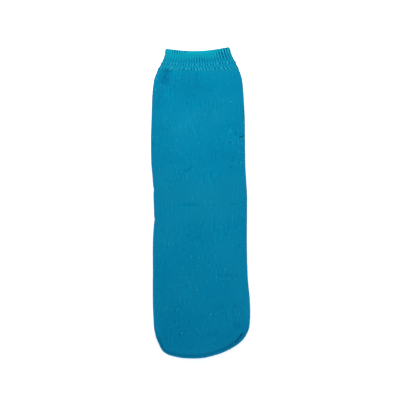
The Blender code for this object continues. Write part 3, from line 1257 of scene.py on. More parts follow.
@dataclass(frozen=True)
class KnitTube:
    """Foot and leg: one hollow knit with a real wall, open at the cuff."""

    form: SockForm
    relief: ClothRelief
    knit: TerryKnit = TerryKnit()
    rings: int = 244
    ring_samples: int = 6000
    density: float = 0.5  # rings in a mm, before all are scaled to their number
    # More rings in a mm: how many, where they begin, and from where on all of them are there
    zones: tuple[tuple[float, float, float], ...] = ((1.1, 40.0, 28.0), (0.35, 258.0, 266.0))
    crease_rings: float = 0.9
    crease_width_mm: float = 2.0  # wider folds get no rings of their own
    crease_margin_mm: float = 2.0
    crease_reach_mm: float = 12.0  # creases that run further along the sock get no rings
    tip_rings: float = 4.0  # at the blunt tip, where the sock widens fastest
    tip_soft_mm: float = 0.3
    tip_zone_mm: tuple[float, float] = (14.0, 4.0)
    dense_wales: int = 29  # from the crown to past the side fold, on each side
    dense_steps: int = 5
    sole_steps: int = 2
    wale_mm: float = 0.09
    nose_fade_mm: float = 4.0  # the wales run out towards the tip, toe and mouth
    toe_fade_mm: tuple[float, float] = (20.0, 50.0)
    least_wale: float = 0.4
    mouth_fade_mm: float = 1.5
    tip_mm: float = 0.12
    inner_rings: int = 56
    # painted shade of the inner skin
    lining_shade: float = 0.3
    toe_wales_mm: float = 38.0  # before this the toe closes and its wales run off the edge

    def ring_places(self, count: int) -> np.ndarray:
        """Distances of the rings from the toe tip, closest where there is most to show.

        Args:
            count: How many rings.

        Returns:
            As many distances.
        """
        end = (self.form.cuff_start - self.form.joint_gap) / MM
        s = np.linspace(self.tip_mm, end, self.ring_samples)
        density = np.full_like(s, self.density)
        for rings, start, full in self.zones:
            density += rings * ramp(s, start, full)
        for fold in FOLDS:
            heights = [y for _, y in fold.line]
            low, high = min(heights), max(heights)
            if fold.width_mm < self.crease_width_mm and high - low < self.crease_reach_mm:
                reach = (high - low) / 2 + self.crease_margin_mm
                density += self.crease_rings * hump(s - (high + low) / 2, reach)
        tip = self.tip_rings / np.sqrt(s + self.tip_soft_mm)
        density += tip * ramp(s, *self.tip_zone_mm)
        total = np.concatenate(([0.0], np.cumsum((density[1:] + density[:-1]) / 2)))
        return np.interp(np.linspace(0, 1, count), total / total[-1], s) * MM

    def wale_marks(self) -> np.ndarray:
        """Wale numbers of the columns, from the sole's middle round by the left to the right.

        Returns:
            The numbers, 0 at the crown.
        """
        half = self.knit.wales // 2
        sole = np.arange(-half, -self.dense_wales, 1 / self.sole_steps)
        top = np.arange(-self.dense_wales, self.dense_wales, 1 / self.dense_steps)
        rest = np.arange(self.dense_wales, half, 1 / self.sole_steps)
        return np.concatenate((sole, top, rest))

    def wale_places(self, s: np.ndarray, marks: np.ndarray) -> tuple[np.ndarray, ...]:
        """Wale numbers over the upper and over the sole.

        In the toe, wales keep their spacing and run off the edge, so the two differ there.

        Args:
            s: Distances from the toe tip.
            marks: Wale numbers of the columns where the tube is full.

        Returns:
            The numbers counted from the crown, those counted from the sole's middle, and which
            of the points lie on the upper.
        """
        half = self.knit.wales / 2
        full_s = np.maximum(s, self.toe_wales_mm * MM)
        girth, side = self.form.girths(s)
        full, _ = self.form.girths(full_s)
        pitch = (full / half)[:, None]
        drift = self.form.sections(s).middle - self.form.sections(full_s).middle
        arc = np.abs(marks) / half * girth[:, None]
        upper = (np.copysign(arc, marks) + drift[:, None]) / pitch
        from_sole = np.copysign(girth[:, None] - arc, marks) + drift[:, None]
        sole = np.copysign(half, marks) - from_sole / pitch
        return upper, sole, arc < side[:, None]

    def face_places(self, s: np.ndarray, marks: np.ndarray) -> np.ndarray:
        """Texture places of the skin's faces, by (face ring, face, corner, uv).

        Args:
            s: Distances from the toe tip.
            marks: Wale numbers of the columns where the tube is full.

        Returns:
            The texture places.
        """
        closed = np.append(marks, self.knit.wales / 2)
        upper, sole, on_top = self.wale_places(s, closed)
        along = s / self.form.length
        top = grid_corners(upper / self.knit.wales + 0.5, along)
        under = grid_corners(sole / self.knit.wales + 0.5, along)
        flags = grid_corners(on_top, along)[..., 0].mean(axis=-1) > 0.5
        return np.where(flags[..., None, None], top, under)

    def build(self) -> list[bpy.types.Object]:
        """Builds the tube.

        Returns:
            The finished pieces.
        """
        marks = self.wale_marks()
        shares = marks / (self.knit.wales / 2)
        s = self.ring_places(self.rings)
        plain = self.form.skin(s, shares)
        lift = self.relief.lift(plain, shares, s)
        upper, sole, on_top = self.wale_places(s, marks)
        ridge = np.cos(2 * math.pi * np.where(on_top, upper, sole))
        nose = ramp(s / MM, 0.0, self.nose_fade_mm)
        toe = above(self.least_wale, ramp(s / MM, *self.toe_fade_mm))
        mouth = ramp(self.form.cuff_start - s, 0.0, self.mouth_fade_mm * MM)
        height = lift + self.wale_mm * MM * ridge * (nose * toe * mouth)[:, None]
        points = plain + skin_normals(plain) * height[..., None]

        piece = PieceMesh()
        # painted shade from the relief's folds, grooves and dips, painted highlight on its ridges,
        # and painted shade along the side fold
        hollow = self.relief.hollow(lift) + self.relief.side_shade(shares, s)
        outside = piece.add_points(points, hollow)
        piece.add_skin(outside, self.face_places(s, marks))
        crown = self.form.top_points(self.form.sections(np.zeros(1)).middle, np.zeros(1))
        piece.add_fan(outside[0], piece.add_points(crown)[0])
        self._add_lining(piece, outside[-1], marks)
        material = self.knit.material(self.form.length)
        return [piece.build("knit_tube_cloth", material, Slot.KNIT, "knit_tube")]

    def _add_lining(self, piece: PieceMesh, mouth: np.ndarray, marks: np.ndarray) -> None:
        """Adds the inner skin and joins it to the outer one at the mouth.

        Args:
            piece: The mesh so far.
            mouth: The outer skin's last ring.
            marks: The outer skin's wale numbers.
        """
        half = self.knit.wales // 2
        wales = np.arange(-half, half)
        s = self.ring_places(self.inner_rings)[1:]
        shares = wales / half
        plain = self.form.skin(s, shares)
        depth = self.form.wall - self.relief.lift(plain, shares, s)
        normals = skin_normals(plain)
        normals[-1, :, 1] = 0.0
        inner = plain - unit(normals) * depth[..., None]
        # the inner skin gets painted shade
        inside = piece.add_points(inner, self.lining_shade)
        around = np.append(wales, half) / self.knit.wales + 0.5
        piece.add_skin(inside, grid_corners(around, s / self.form.length))
        nose = inner[0].mean(axis=0)
        nose[1] = -self.form.length / 2 + self.form.wall
        piece.add_fan(inside[0], piece.add_points(nose[None])[0])
        last = np.searchsorted(marks, wales)
        ends = np.append(last[1:], len(marks))
        for k, (start, end) in enumerate(zip(last, ends)):
            rim = [mouth[j % len(marks)] for j in range(start, end + 1)]
            face = np.array([[inside[-1][k], *rim, inside[-1][(k + 1) % len(wales)]]])
            piece.add_faces(face)


class Profile(NamedTuple):
    """A place in the cuff's profile: share of its length, and its height over the knit in mm."""

    along: float
    height_mm: float


CUFF_PROFILE = (
    Profile(-0.03, -0.10),
    Profile(0.00, 0.06),
    Profile(0.08, 0.22),
    Profile(0.38, 0.36),
    Profile(0.72, 0.40),
    Profile(0.78, 0.40),
    Profile(0.83, 0.80),
    Profile(0.90, 0.95),
    Profile(0.96, 0.85),
    Profile(1.00, 0.70),
)


class RibPatch(NamedTuple):
    """Where the ribs stand out: a place by share of half the width and of the cuff's length."""

    across: float
    along: float
    reach_across: float
    reach_along: float
    height_mm: float


RIB_PATCHES = (
    RibPatch(0.49, 0.80, 0.17, 0.36, 0.66),
    RibPatch(-0.01, 0.58, 0.28, 0.15, 0.40),
    RibPatch(-0.485, 0.93, 0.10, 0.10, 0.60),
    RibPatch(-0.45, 0.58, 0.16, 0.14, 0.16),
)


class Stitch(Enum):
    """How far a stitch of the transfer rows leans."""

    BEAD = 0.0
    STROKE = 0.55


@dataclass(frozen=True)
class StitchRow:
    """A row of raised stitches round the cuff's foot."""

    along: float
    kind: Stitch
    half_width_mm: float
    half_length_mm: float
    height_mm: float
    turn_at: float  # strokes lean one way left of this share of half the width


STITCH_ROWS = (
    StitchRow(0.355, Stitch.BEAD, 0.70, 0.90, 0.70, -0.26),
    StitchRow(0.130, Stitch.STROKE, 0.60, 1.60, 0.60, -0.26),
)


# Rings of the lip that laps inside the knit: share of the lip, and depth under its face in mm
CUFF_LIP = ((0.0, 0.03), (0.6, 0.05), (1.0, 0.04))


@dataclass(frozen=True)
class Cuff:
    """Elastic cuff: mock rib, two rows of transfer stitches at its foot and a turned welt."""

    form: SockForm
    relief: ClothRelief
    rib: ElasticRib = ElasticRib()
    ribs: int = 58  # at the spacing of the middle; one fewer is there, for the wide ones
    steps: int = 8  # columns in each rib
    rings: int = 84
    wide_start: float = 6.0
    wide_ribs: float = 9.0
    lip_mm: float = 0.7  # the foot laps inside the knit and hides the joint
    lap_mm: float = 0.08
    base_rib_mm: float = 0.03
    under_rib_mm: float = 0.30
    inner_rib_mm: float = 0.15
    rib_foot: tuple[float, float] = (0.43, 0.48)
    rib_end: tuple[float, float] = (0.86, 0.76)
    inner_rib_end: tuple[float, float] = (0.97, 0.87)
    knit_relief_end: float = 0.5
    rim_mm: float = 0.9
    rim_steps: int = 7
    rim_turn: float = 0.55  # of the wall
    rim_dark: float = -0.2  # cosine of the turn at which a groove's shade has run out
    inner_rings: int = 14
    # painted shade of the cuff's inner face and its lip
    inner_shade: float = 0.35
    # Painted shade in the grooves and holes, painted highlight on crests and stitches; the uneven
    # terms add the yarn's own tone
    full_shade_mm: float = 0.72
    rib_shade: float = 0.56  # the higher, the darker the ribs as a whole
    uneven_shade: float = 0.7
    hole_shade: float = 1.1
    bump_shade: float = 1.3
    bump_uneven: float = 1.2
    hole_depth: float = 0.5
    stray: float = 0.20  # how far a stitch strays from its place, as a share of the pitch
    uneven_mm: float = 1.5
    pit: tuple[float, float] = (-0.302, 0.955)  # a dropped stitch, by the shares of a RibPatch
    pit_reach: tuple[float, float] = (0.016, 0.035)
    pit_mm: float = 0.6
    # painted shade in the pit of the dropped stitch
    pit_shade: float = 2.0
    normal_step_mm: float = 0.6
    seed: int = 5

    def build(self) -> list[bpy.types.Object]:
        """Builds the cuff.

        Returns:
            The finished pieces.
        """
        columns = self.ribs * self.steps
        marks = (np.arange(columns) - columns // 2) / self.steps
        length = self.form.cuff_length
        lip = self.lip_mm * MM / length
        rim = self.rim_mm * MM / length
        outer_t = np.linspace(-lip, 1 - rim, self.rings)
        outer, hollow = self.outside(outer_t, marks)
        turn = np.linspace(0, math.pi, self.rim_steps + 2)[1:-1]
        rim_t = 1 - rim + rim * np.sin(turn)
        rim_depth = self.form.cuff_wall * self.rim_turn * (1 - np.cos(turn))
        inner_t = np.linspace(1 - rim, 0.0, self.inner_rings)
        lip_share, lip_depth_mm = np.array(CUFF_LIP).T
        t = np.concatenate((outer_t, rim_t, inner_t, -lip * lip_share))
        inner = self.inside(inner_t, marks)
        foot = outer[0] - lip_depth_mm[:, None] * MM
        rise = np.vstack((outer, outer[-1] - rim_depth[:, None], inner, foot))
        # painted shade: inner_shade inside and on the lip, the face's own, and the face's carried
        # over the rim as it turns
        shade = np.full(rise.shape, self.inner_shade)
        shade[: len(outer_t)] = hollow
        over_rim = ramp(np.cos(turn), self.rim_dark, 1.0)[:, None]
        shade[len(outer_t) : len(outer_t) + len(rim_t)] = hollow[-1] * over_rim

        s = self.form.cuff_start + t * length
        shares = marks / (self.ribs / 2)
        points = self.form.skin(s, shares) + self._normals(s, shares) * rise[..., None]
        rest = np.where(s < self.form.cuff_start - self.form.joint_gap, self.lap_mm * MM, 0.0)
        rest[-len(CUFF_LIP) :] = 2 * self.lap_mm * MM
        points[..., 2] = np.maximum(points[..., 2], rest[:, None])
        piece = PieceMesh()
        numbers = piece.add_points(points, shade)
        around = np.append(marks, self.ribs / 2) / self.ribs + 0.5
        corners = grid_corners(around, np.append(t, t[0]))
        piece.add_skin(np.vstack((numbers, numbers[:1])), corners)
        return [piece.build("elastic_cuff", self.rib.material(length), Slot.CUFF, "cuff")]

    def phase(self, marks: np.ndarray) -> np.ndarray:
        """Rib numbers at marks spaced evenly round the cuff; the ribs at the right are wider."""
        return marks - ramp(marks, self.wide_start, self.wide_start + self.wide_ribs)

    def _normals(self, s: np.ndarray, shares: np.ndarray) -> np.ndarray:
        """Directions out of the plain form at each ring.

        Args:
            s: Distances from the toe tip.
            shares: Places round the section, as shares of its half girth.

        Returns:
            An array of (ring, place round it, xyz).
        """
        step = self.normal_step_mm * MM
        ahead = np.minimum(s + step, self.form.length)
        along = self.form.skin(ahead, shares) - self.form.skin(ahead - 2 * step, shares)
        here = self.form.skin(s, shares)
        around = np.roll(here, -1, axis=1) - np.roll(here, 1, axis=1)
        return unit(np.cross(around, along))

    def outside(self, t: np.ndarray, marks: np.ndarray) -> tuple[np.ndarray, np.ndarray]:
        """Relief of the cuff's face.

        Args:
            t: Shares of the cuff's length.
            marks: Places round the cuff, one for each rib of the middle's spacing.

        Returns:
            The height over the knit, and the painted shade at each point: 1 at a groove's bottom
            and below 0 a painted highlight on a crest.
        """
        s = self.form.cuff_start + t * self.form.cuff_length
        shares = marks / (self.ribs / 2)
        plain = self.form.skin(s, shares)
        across = plain[..., 0] / (self.form.width / 2)
        t = t[:, None]
        profile = SoftCurve(*np.array(CUFF_PROFILE).T).at(t)
        upper = np.abs(shares) < 0.5
        strength = np.where(upper, self.base_rib_mm, self.under_rib_mm) * ramp(t, *self.rib_end)
        for patch in RIB_PATCHES:
            away = ((across - patch.across) / patch.reach_across) ** 2
            away = away + ((t - patch.along) / patch.reach_along) ** 2
            strength = strength + patch.height_mm * np.exp(-away) * upper
        uneven = self._unevenness(t, marks)
        strength = strength * ramp(t, *self.rib_foot) * (1 + uneven)
        wave = np.cos(2 * math.pi * self.phase(marks))
        height = profile + strength * (wave - 1) / 2
        # painted shade in the ribs' grooves and painted highlight on their crests, with the yarn's
        # own uneven tone
        tone = self.rib_shade - wave - self.uneven_shade * uneven
        hollow = tone * strength / self.full_shade_mm
        for row in STITCH_ROWS:
            # painted highlight on the stitches and painted shade in the holes between them
            bumps = self._stitches(row, t, marks, s)
            holes = self._stitches(row, t, marks + 0.5, s)
            height = height + row.height_mm * (bumps - self.hole_depth * holes)
            bump_shade = self.bump_shade + self.bump_uneven * uneven
            hollow = hollow + self.hole_shade * holes - bump_shade * bumps
        # the knit's folds run into the cuff's foot with their painted shade, joined by the side
        # fold's painted shade
        slack = self.relief.lift(plain, shares, s) * ramp(t, self.knit_relief_end, 0.0)
        hollow = hollow + self.relief.hollow(slack) + self.relief.side_shade(shares, s)
        # the dropped stitch's pit: sunk and given painted shade
        for place, spot, reach in zip((across, t), self.pit, self.pit_reach):
            upper = upper * hump(place - spot, reach)
        height = height - self.pit_mm * upper
        return height * MM + slack, np.clip(hollow + self.pit_shade * upper, -1.0, 1.0)

    def _unevenness(self, t: np.ndarray, marks: np.ndarray) -> np.ndarray:
        """Unevenness of the elastic yarn, from -1 to 1: it changes along each rib.

        Args:
            t: Shares of the cuff's length.
            marks: Places round the cuff, one for each rib of the middle's spacing.

        Returns:
            The unevenness by (ring, place round it).
        """
        random = np.random.default_rng(self.seed)
        rows = int(self.form.cuff_length / (self.uneven_mm * MM))
        table = random.uniform(-1, 1, (rows + 1, self.ribs))
        rib = np.round(self.phase(marks)).astype(int) % self.ribs
        place = np.clip(t, 0.0, 0.999) * rows
        row = place.astype(int)
        share = ramp(place - row, 0.0, 1.0)
        return table[row, rib] * (1 - share) + table[row + 1, rib] * share

    def _stitches(
        self, row: StitchRow, t: np.ndarray, marks: np.ndarray, s: np.ndarray
    ) -> np.ndarray:
        """One bump in each rib, from 0 to 1.

        Args:
            row: The row of stitches.
            t: Shares of the cuff's length.
            marks: Places round the cuff, one for each rib of the middle's spacing.
            s: The rings' distances from the toe tip.

        Returns:
            The height of the bumps by (ring, place round it).
        """
        girth, _ = self.form.girths(s)
        phase = self.phase(marks)
        pitch_mm = girth[:, None] / (self.ribs / 2) / MM / np.gradient(phase, marks)
        lean = row.kind.value
        turn_mark = row.turn_at * self.ribs / 4
        lean = np.where(marks < turn_mark, lean, -lean)
        height = np.zeros(pitch_mm.shape)
        q = (t - row.along) * self.form.cuff_length / MM
        stray = np.random.default_rng(self.seed + len(row.kind.name))
        stray = stray.uniform(-self.stray, self.stray, (2, self.ribs))
        for neighbour in (-1, 0, 1):
            number = np.round(phase).astype(int) - neighbour
            aside, ahead = stray[:, number % self.ribs]
            p = (phase - number + aside) * pitch_mm
            across = p * np.cos(lean) - (q + ahead) * np.sin(lean)
            along = p * np.sin(lean) + (q + ahead) * np.cos(lean)
            away = (across / row.half_width_mm) ** 2 + (along / row.half_length_mm) ** 2
            height = np.maximum(height, np.exp(-away))
        return height

    def inside(self, t: np.ndarray, marks: np.ndarray) -> np.ndarray:
        """Depth of the cuff's inner face: plainer ribs.

        Args:
            t: Shares of the cuff's length.
            marks: Places round the cuff, one for each rib of the middle's spacing.

        Returns:
            The depth by (ring, place round it), below zero.
        """
        ridge = np.cos(2 * math.pi * (self.phase(marks) + 0.5))
        fade = ramp(t, *self.inner_rib_end)[:, None]
        return self.inner_rib_mm * MM * ridge * fade - self.form.cuff_wall


@dataclass(frozen=True)
class ToeSeam:
    """The linked seam that closes the toe: a row of slanted stitches in its groove."""

    form: SockForm
    relief: ClothRelief
    yarn: LinkedYarn = LinkedYarn()
    pitch_mm: float = 1.5
    half_length_mm: float = 1.15
    half_width_mm: float = 0.55
    rise_mm: float = 0.12
    slant: float = 0.5
    fade: float = 0.2
    taper: float = 0.45
    segments: int = 10
    bands: int = 6
    path_steps: int = 400
    normal_step_mm: float = 0.5

    def build(self) -> list[bpy.types.Object]:
        """Builds the seam.

        Returns:
            The finished pieces.
        """
        t = np.linspace(-1, 1, self.path_steps)
        path = self.form.top_points(*self.form.seam_places(t))
        length = np.concatenate(([0.0], np.cumsum(np.linalg.norm(np.diff(path, axis=0), axis=1))))
        count = int(length[-1] / (self.pitch_mm * MM))
        stations = np.interp(np.linspace(0, length[-1], count), length, t)
        x, s = self.form.seam_places(stations)
        centres = self.form.top_points(x, s)
        up = face_normals(self.form.top_points, x, s, self.normal_step_mm)
        run = unit(np.gradient(centres, axis=0))
        side = unit(np.cross(run, up))
        long_way = side * math.cos(self.slant) + run * math.sin(self.slant)
        wide_way = np.cross(up, long_way)
        sizes = above(self.taper, ramp(np.abs(stations), 1.0, 1.0 - self.fade))
        sinks = self.relief.seam_sink((1 + stations) / 2)
        half_sizes = np.array([self.half_length_mm, self.half_width_mm, self.half_width_mm]) * MM
        piece = PieceMesh()
        ball = ball_points(self.segments, self.bands)
        for i, size in enumerate(sizes):
            axes = np.stack((long_way[i], wide_way[i], up[i])) * half_sizes[:, None] * size
            spot = centres[i] + up[i] * (self.rise_mm - sinks[i]) * size * MM
            add_ball(piece, ball @ axes + spot, self.segments)
        material = self.yarn.material(self.form.length)
        return [piece.build("toe_seam_stitches", material, Slot.SEAM, "toe_seam")]


@dataclass(frozen=True)
class GripField:
    """Rows of chevrons in printed grips: a field that points to the toe or to the heel."""

    form: SockForm
    print_finish: GripPrint = GripPrint()
    grip_length: float = 11.5 * MM
    lean: float = 0.14
    tip: float = 0.16
    corner: float = 1.1 * MM
    corner_share: float = 0.48  # of a side, at most
    corner_steps: int = 4
    front_gap: float = 9.2 * MM
    heel_gap: float = 7.4 * MM  # between the rows of chevrons, as front_gap is
    front_start: float = 15.2 * MM
    side_margin: float = 5.0 * MM
    print_offset: float = -3.1 * MM
    front_share: float = 0.275
    heel_share: float = 0.580
    pitch_share: float = 0.76
    drop_share: float = 0.70
    root_share: float = 0.5  # of the knit's wall
    normal_step_mm: float = 0.45
    # Rings of the rounded edge: share of the outline's size, and of the grip's height
    edge: tuple[tuple[float, float], ...] = (
        (1.00, 0.45),
        (0.985, 0.72),
        (0.95, 0.90),
        (0.89, 0.985),
        (0.80, 1.0),
        (0.40, 1.0),
    )

    def corners(self, side: int) -> np.ndarray:
        """Corners of one grip about its middle, across and along.

        Args:
            side: The arm of the chevron: -1, 0 or 1.

        Returns:
            An array of (corner, xy).
        """
        half_length = self.grip_length / 2
        half_width = self.form.grip_width / 2
        blunt = self.tip * half_width
        lean = side * self.lean * self.grip_length
        half = [(-half_length, -blunt), (-lean, -half_width), (half_length, -blunt)]
        return np.array(half + [(half_length, blunt), (lean, half_width), (-half_length, blunt)])

    def outline(self, side: int) -> np.ndarray:
        """Outline of one grip with its corners rounded.

        Args:
            side: The arm of the chevron: -1, 0 or 1.

        Returns:
            An array of (point, xy).
        """
        corners = self.corners(side)
        u = np.linspace(0, 1, self.corner_steps + 1)[:, None]
        points = []
        for i, corner in enumerate(corners):
            start, end = (
                corner + unit(way) * min(self.corner, np.linalg.norm(way) * self.corner_share)
                for way in (corners[i - 1] - corner, corners[(i + 1) % len(corners)] - corner)
            )
            points.append((1 - u) ** 2 * start + 2 * u * (1 - u) * corner + u * u * end)
        return np.vstack(points)

    def places(self, way: int) -> list[tuple[float, float, int]]:
        """Where the grips of one field are.

        Args:
            way: 1 for the forefoot's field, which points to the toe, and -1 for the heel's.

        Returns:
            Each grip's place across and along, and its arm of the chevron.
        """
        form = self.form
        room = form.width / 2 - self.side_margin - abs(self.print_offset) - self.grip_length / 2
        pitch = self.pitch_share * self.grip_length
        columns = int(room / pitch)
        if way > 0:
            first, gap = self.front_start, self.front_gap
            reach = self.front_share * form.length - first
        else:
            first, gap = form.heel_end, self.heel_gap
            reach = first - self.heel_share * form.length
        step = form.grip_width + gap
        drop = self.drop_share * form.grip_width
        return [
            (
                self.print_offset + column * pitch,
                first + way * (row * step + abs(column) * drop),
                way * ((column > 0) - (column < 0)),
            )
            for row in range(1 + int(reach / step))
            for column in range(-columns, columns + 1)
        ]

    def build(self) -> list[bpy.types.Object]:
        """Builds the two fields, each as one joined mesh.

        Returns:
            The finished pieces.
        """
        material = self.print_finish.material()
        fields = []
        for name, way in (("forefoot_grips", 1), ("heel_grips", -1)):
            piece = PieceMesh()
            for across, along, side in self.places(way):
                self._add_grip(piece, across, along, side)
            fields.append(piece.build(name, material, Slot.GRIP))
        return fields

    def _raised(self, reach: np.ndarray, s: np.ndarray, rise: float) -> np.ndarray:
        """Points at a height over the knit of the sole."""
        sole = self.form.sole_points
        return sole(reach, s) - face_normals(sole, reach, s, self.normal_step_mm) * rise

    def _add_grip(self, piece: PieceMesh, across: float, along: float, side: int) -> None:
        """Adds one grip: rooted in the knit, with a rounded edge and a face flat on the floor.

        Args:
            piece: The mesh so far.
            across: The grip's place across the sole.
            along: Its distance from the toe tip.
            side: The arm of the chevron: -1, 0 or 1.
        """
        place = np.array([across, along])
        outline = self.outline(side)
        rings = [(1.0, -self.root_share * self.form.wall)]
        rings += [(scale, share * self.form.grip_height) for scale, share in self.edge]
        rows = [self._raised(*(place + outline * scale).T, rise) for scale, rise in rings]
        numbers = piece.add_points(np.array(rows))
        piece.add_skin(numbers)
        for end in (0, -1):
            middle = self._raised(*place[:, None], rings[end][1])
            piece.add_fan(numbers[end], piece.add_points(middle)[0])


class Pill(NamedTuple):
    """A pill of worn fibre, by share of half the width, distance from the toe tip and size."""

    across: float
    along_mm: float
    radius_mm: float


PILLS = (
    Pill(-0.029, 103.6, 0.60),
    Pill(-0.060, 95.8, 0.52),
    Pill(-0.221, 78.9, 0.58),
    Pill(-0.068, 70.7, 0.60),
    Pill(-0.140, 50.1, 0.52),
    Pill(0.203, 46.5, 0.68),
    Pill(-0.375, 27.0, 0.70),
    Pill(-0.448, 287.8, 0.55),
    # Loops pulled out at the dent, and along a crease
    Pill(0.590, 223.2, 0.50),
    Pill(0.640, 220.8, 0.50),
    Pill(0.800, 225.2, 0.50),
    Pill(0.860, 225.4, 0.50),
    Pill(-0.626, 116.4, 0.50),
    Pill(-0.707, 50.6, 0.50),
    Pill(0.628, 263.1, 0.55),
)


@dataclass(frozen=True)
class WornFibre:
    """Pills, neps and stray fibres that stand on the knit."""

    form: SockForm
    knit: TerryKnit = TerryKnit(name="teal_pilled_fibre", colour="#2ba0ba", groove=0.0)
    seed: int = 7
    pill_ball: tuple[int, int] = (12, 8)  # segments and bands
    pill_form: tuple[float, float, float] = (1.0, 1.25, 0.7)
    pill_lift: float = 0.45
    rough: float = 0.22
    normal_step_mm: float = 0.5
    neps: int = 260
    nep_ball: tuple[int, int] = (8, 6)
    nep_mm: float = 0.36
    nep_width: float = 0.8
    longest: float = 4.0  # a nep drawn out along its wale
    dark_share: float = 0.5
    upper_share: float = 0.48  # neps lie on the upper, from one side fold to the other
    tufts: int = 1500
    tuft_share: float = 0.62
    tuft_mm: float = 1.3
    tuft_rings: tuple[float, ...] = (0.0, 0.4, 0.75, 1.0)
    tuft_radii: tuple[float, ...] = (1.0, 0.85, 0.6, 0.2)
    tuft_rise: float = 0.75  # a fibre's rise and droop, as shares of its length
    tuft_droop: float = 0.3
    tuft_bend: float = 1.5  # power of the way that it bends over
    tuft_sides: int = 3
    patch_share: float = 0.004  # the cloth round a fibre's root that shows its slope
    patch_mm: float = 0.5
    thick_mm: float = 0.045  # a fibre is about 0.02 mm, drawn coarser to show

    def build(self) -> list[bpy.types.Object]:
        """Builds the pills with the neps, and the fibres.

        Returns:
            The finished pieces.
        """
        random = np.random.default_rng(self.seed)
        material = self.knit.material(self.form.length)
        pills = self._pills(random)
        self._add_neps(pills, random)
        meshes = {"fibre_pills": pills, "stray_fibres": self._fibres(random)}
        return [mesh.build(name, material, Slot.KNIT) for name, mesh in meshes.items()]

    def _pills(self, random: np.random.Generator) -> PieceMesh:
        """Small matted balls, uneven and a little flattened.

        Args:
            random: Gives the random draws.

        Returns:
            Their mesh.
        """
        piece = PieceMesh()
        ball = ball_points(*self.pill_ball)
        for pill in PILLS:
            x = np.array([pill.across * self.form.width / 2])
            s = np.array([pill.along_mm * MM])
            radius = pill.radius_mm * MM
            up = face_normals(self.form.top_points, x, s, self.normal_step_mm)[0]
            spot = self.form.top_points(x, s)[0] + up * self.pill_lift * radius
            rough = 1 + random.uniform(-self.rough, self.rough, len(ball))[:, None]
            points = ball * rough * radius * np.array(self.pill_form) + spot
            add_ball(piece, points, self.pill_ball[0])
        return piece

    def _add_neps(self, piece: PieceMesh, random: np.random.Generator) -> None:
        """Adds tiny knots in the yarn, drawn out along the wales, some light and some dark.

        Args:
            piece: The mesh so far.
            random: Gives the random draws.
        """
        ball = ball_points(*self.nep_ball)
        s = random.uniform(10 * MM, self.form.cuff_start - 4 * MM, self.neps)
        shares = random.uniform(-self.upper_share, self.upper_share, self.neps)
        sizes = self.nep_mm * MM * random.uniform(0.6, 1.15, self.neps)
        drawn = random.uniform(1.0, self.longest, self.neps)
        dark = random.uniform(0, 1, self.neps) < self.dark_share
        for place, share, size, long, shade in zip(s, shares, sizes, drawn, dark):
            spot = self.form.skin(np.array([place]), np.array([share]))[0, 0]
            knot = ball * size * np.array([self.nep_width, long, self.nep_width]) + spot
            # a dark nep takes the material's shade colour as its own darker tone
            add_ball(piece, knot, self.nep_ball[0], float(shade))

    def _fibres(self, random: np.random.Generator) -> PieceMesh:
        """Short bent fibres all round the cloth.

        Args:
            random: Gives the random draws.

        Returns:
            Their mesh.
        """
        piece = PieceMesh()
        s = random.uniform(4 * MM, self.form.cuff_start - 2 * MM, self.tufts)
        shares = random.uniform(-self.tuft_share, self.tuft_share, self.tufts)
        steps = np.array(self.tuft_rings)[:, None]
        rise = self.tuft_rise * steps - self.tuft_droop * steps**2
        bend = steps**self.tuft_bend
        radii = self.thick_mm * MM * np.array(self.tuft_radii)
        about = np.array([-1, 0, 1])
        for place, share in zip(s, shares):
            near = place + about * self.patch_mm * MM
            patch = self.form.skin(near, share + about * self.patch_share)
            across = unit(patch[1, 2] - patch[1, 0])
            along = unit(patch[2, 1] - patch[0, 1])
            out = unit(np.cross(across, along))
            lean = unit(across * random.normal() + along * random.normal())
            length = self.tuft_mm * MM * random.uniform(0.5, 1.2)
            line = patch[1, 1] + (out * rise + lean * bend) * length
            add_tube(piece, line, radii, across, along, self.tuft_sides)
        return piece


@dataclass(frozen=True)
class TerryLoops:
    """Loops of the lining, where they can be seen through the mouth."""

    form: SockForm
    knit: TerryKnit = TerryKnit(name="teal_terry_loops", colour="#0a7ea6", groove=0.0)
    seed: int = 11
    wales: int = 84
    pitch_mm: float = 1.9
    reach_mm: float = 62.0
    height_mm: float = 1.1
    thick_mm: float = 0.22
    root: float = 0.95  # of the wall
    half_mm: float = 0.55  # half of a loop's width
    wild: float = 0.7  # how far a loop leans out of its course
    heights: tuple[float, float] = (0.7, 1.15)
    steps: int = 6
    sides: int = 5

    def build(self) -> list[bpy.types.Object]:
        """Builds the loops.

        Returns:
            The finished pieces.
        """
        random = np.random.default_rng(self.seed)
        piece = PieceMesh()
        end = self.form.cuff_start - 2 * MM
        rows = np.arange(end - self.reach_mm * MM, end, self.pitch_mm * MM)
        marks = (np.arange(self.wales) - self.wales / 2 + 0.5) / (self.wales / 2)
        plain = self.form.skin(rows, marks)
        inward = -skin_normals(plain)
        across = unit(np.roll(plain, -1, axis=1) - np.roll(plain, 1, axis=1))
        turn = np.linspace(0, math.pi, self.steps + 1)[:, None]
        for i, j in np.ndindex(plain.shape[:2]):
            out = inward[i, j]
            root = plain[i, j] + out * self.form.wall * self.root
            lean = across[i, j] * math.cos(random.uniform(-self.wild, self.wild))
            aside = np.cross(out, across[i, j]) * random.uniform(-self.wild, self.wild)
            lean = unit(lean + aside)
            height = self.height_mm * MM * random.uniform(*self.heights)
            line = root + lean * self.half_mm * MM * np.cos(turn) + out * height * np.sin(turn)
            away = unit(lean * np.cos(turn) + out * np.sin(turn))
            add_tube(piece, line, self.thick_mm * MM, away, np.cross(lean, out), self.sides)
        material = self.knit.material(self.form.length)
        return [piece.build("terry_loops", material, Slot.KNIT)]


# Studio


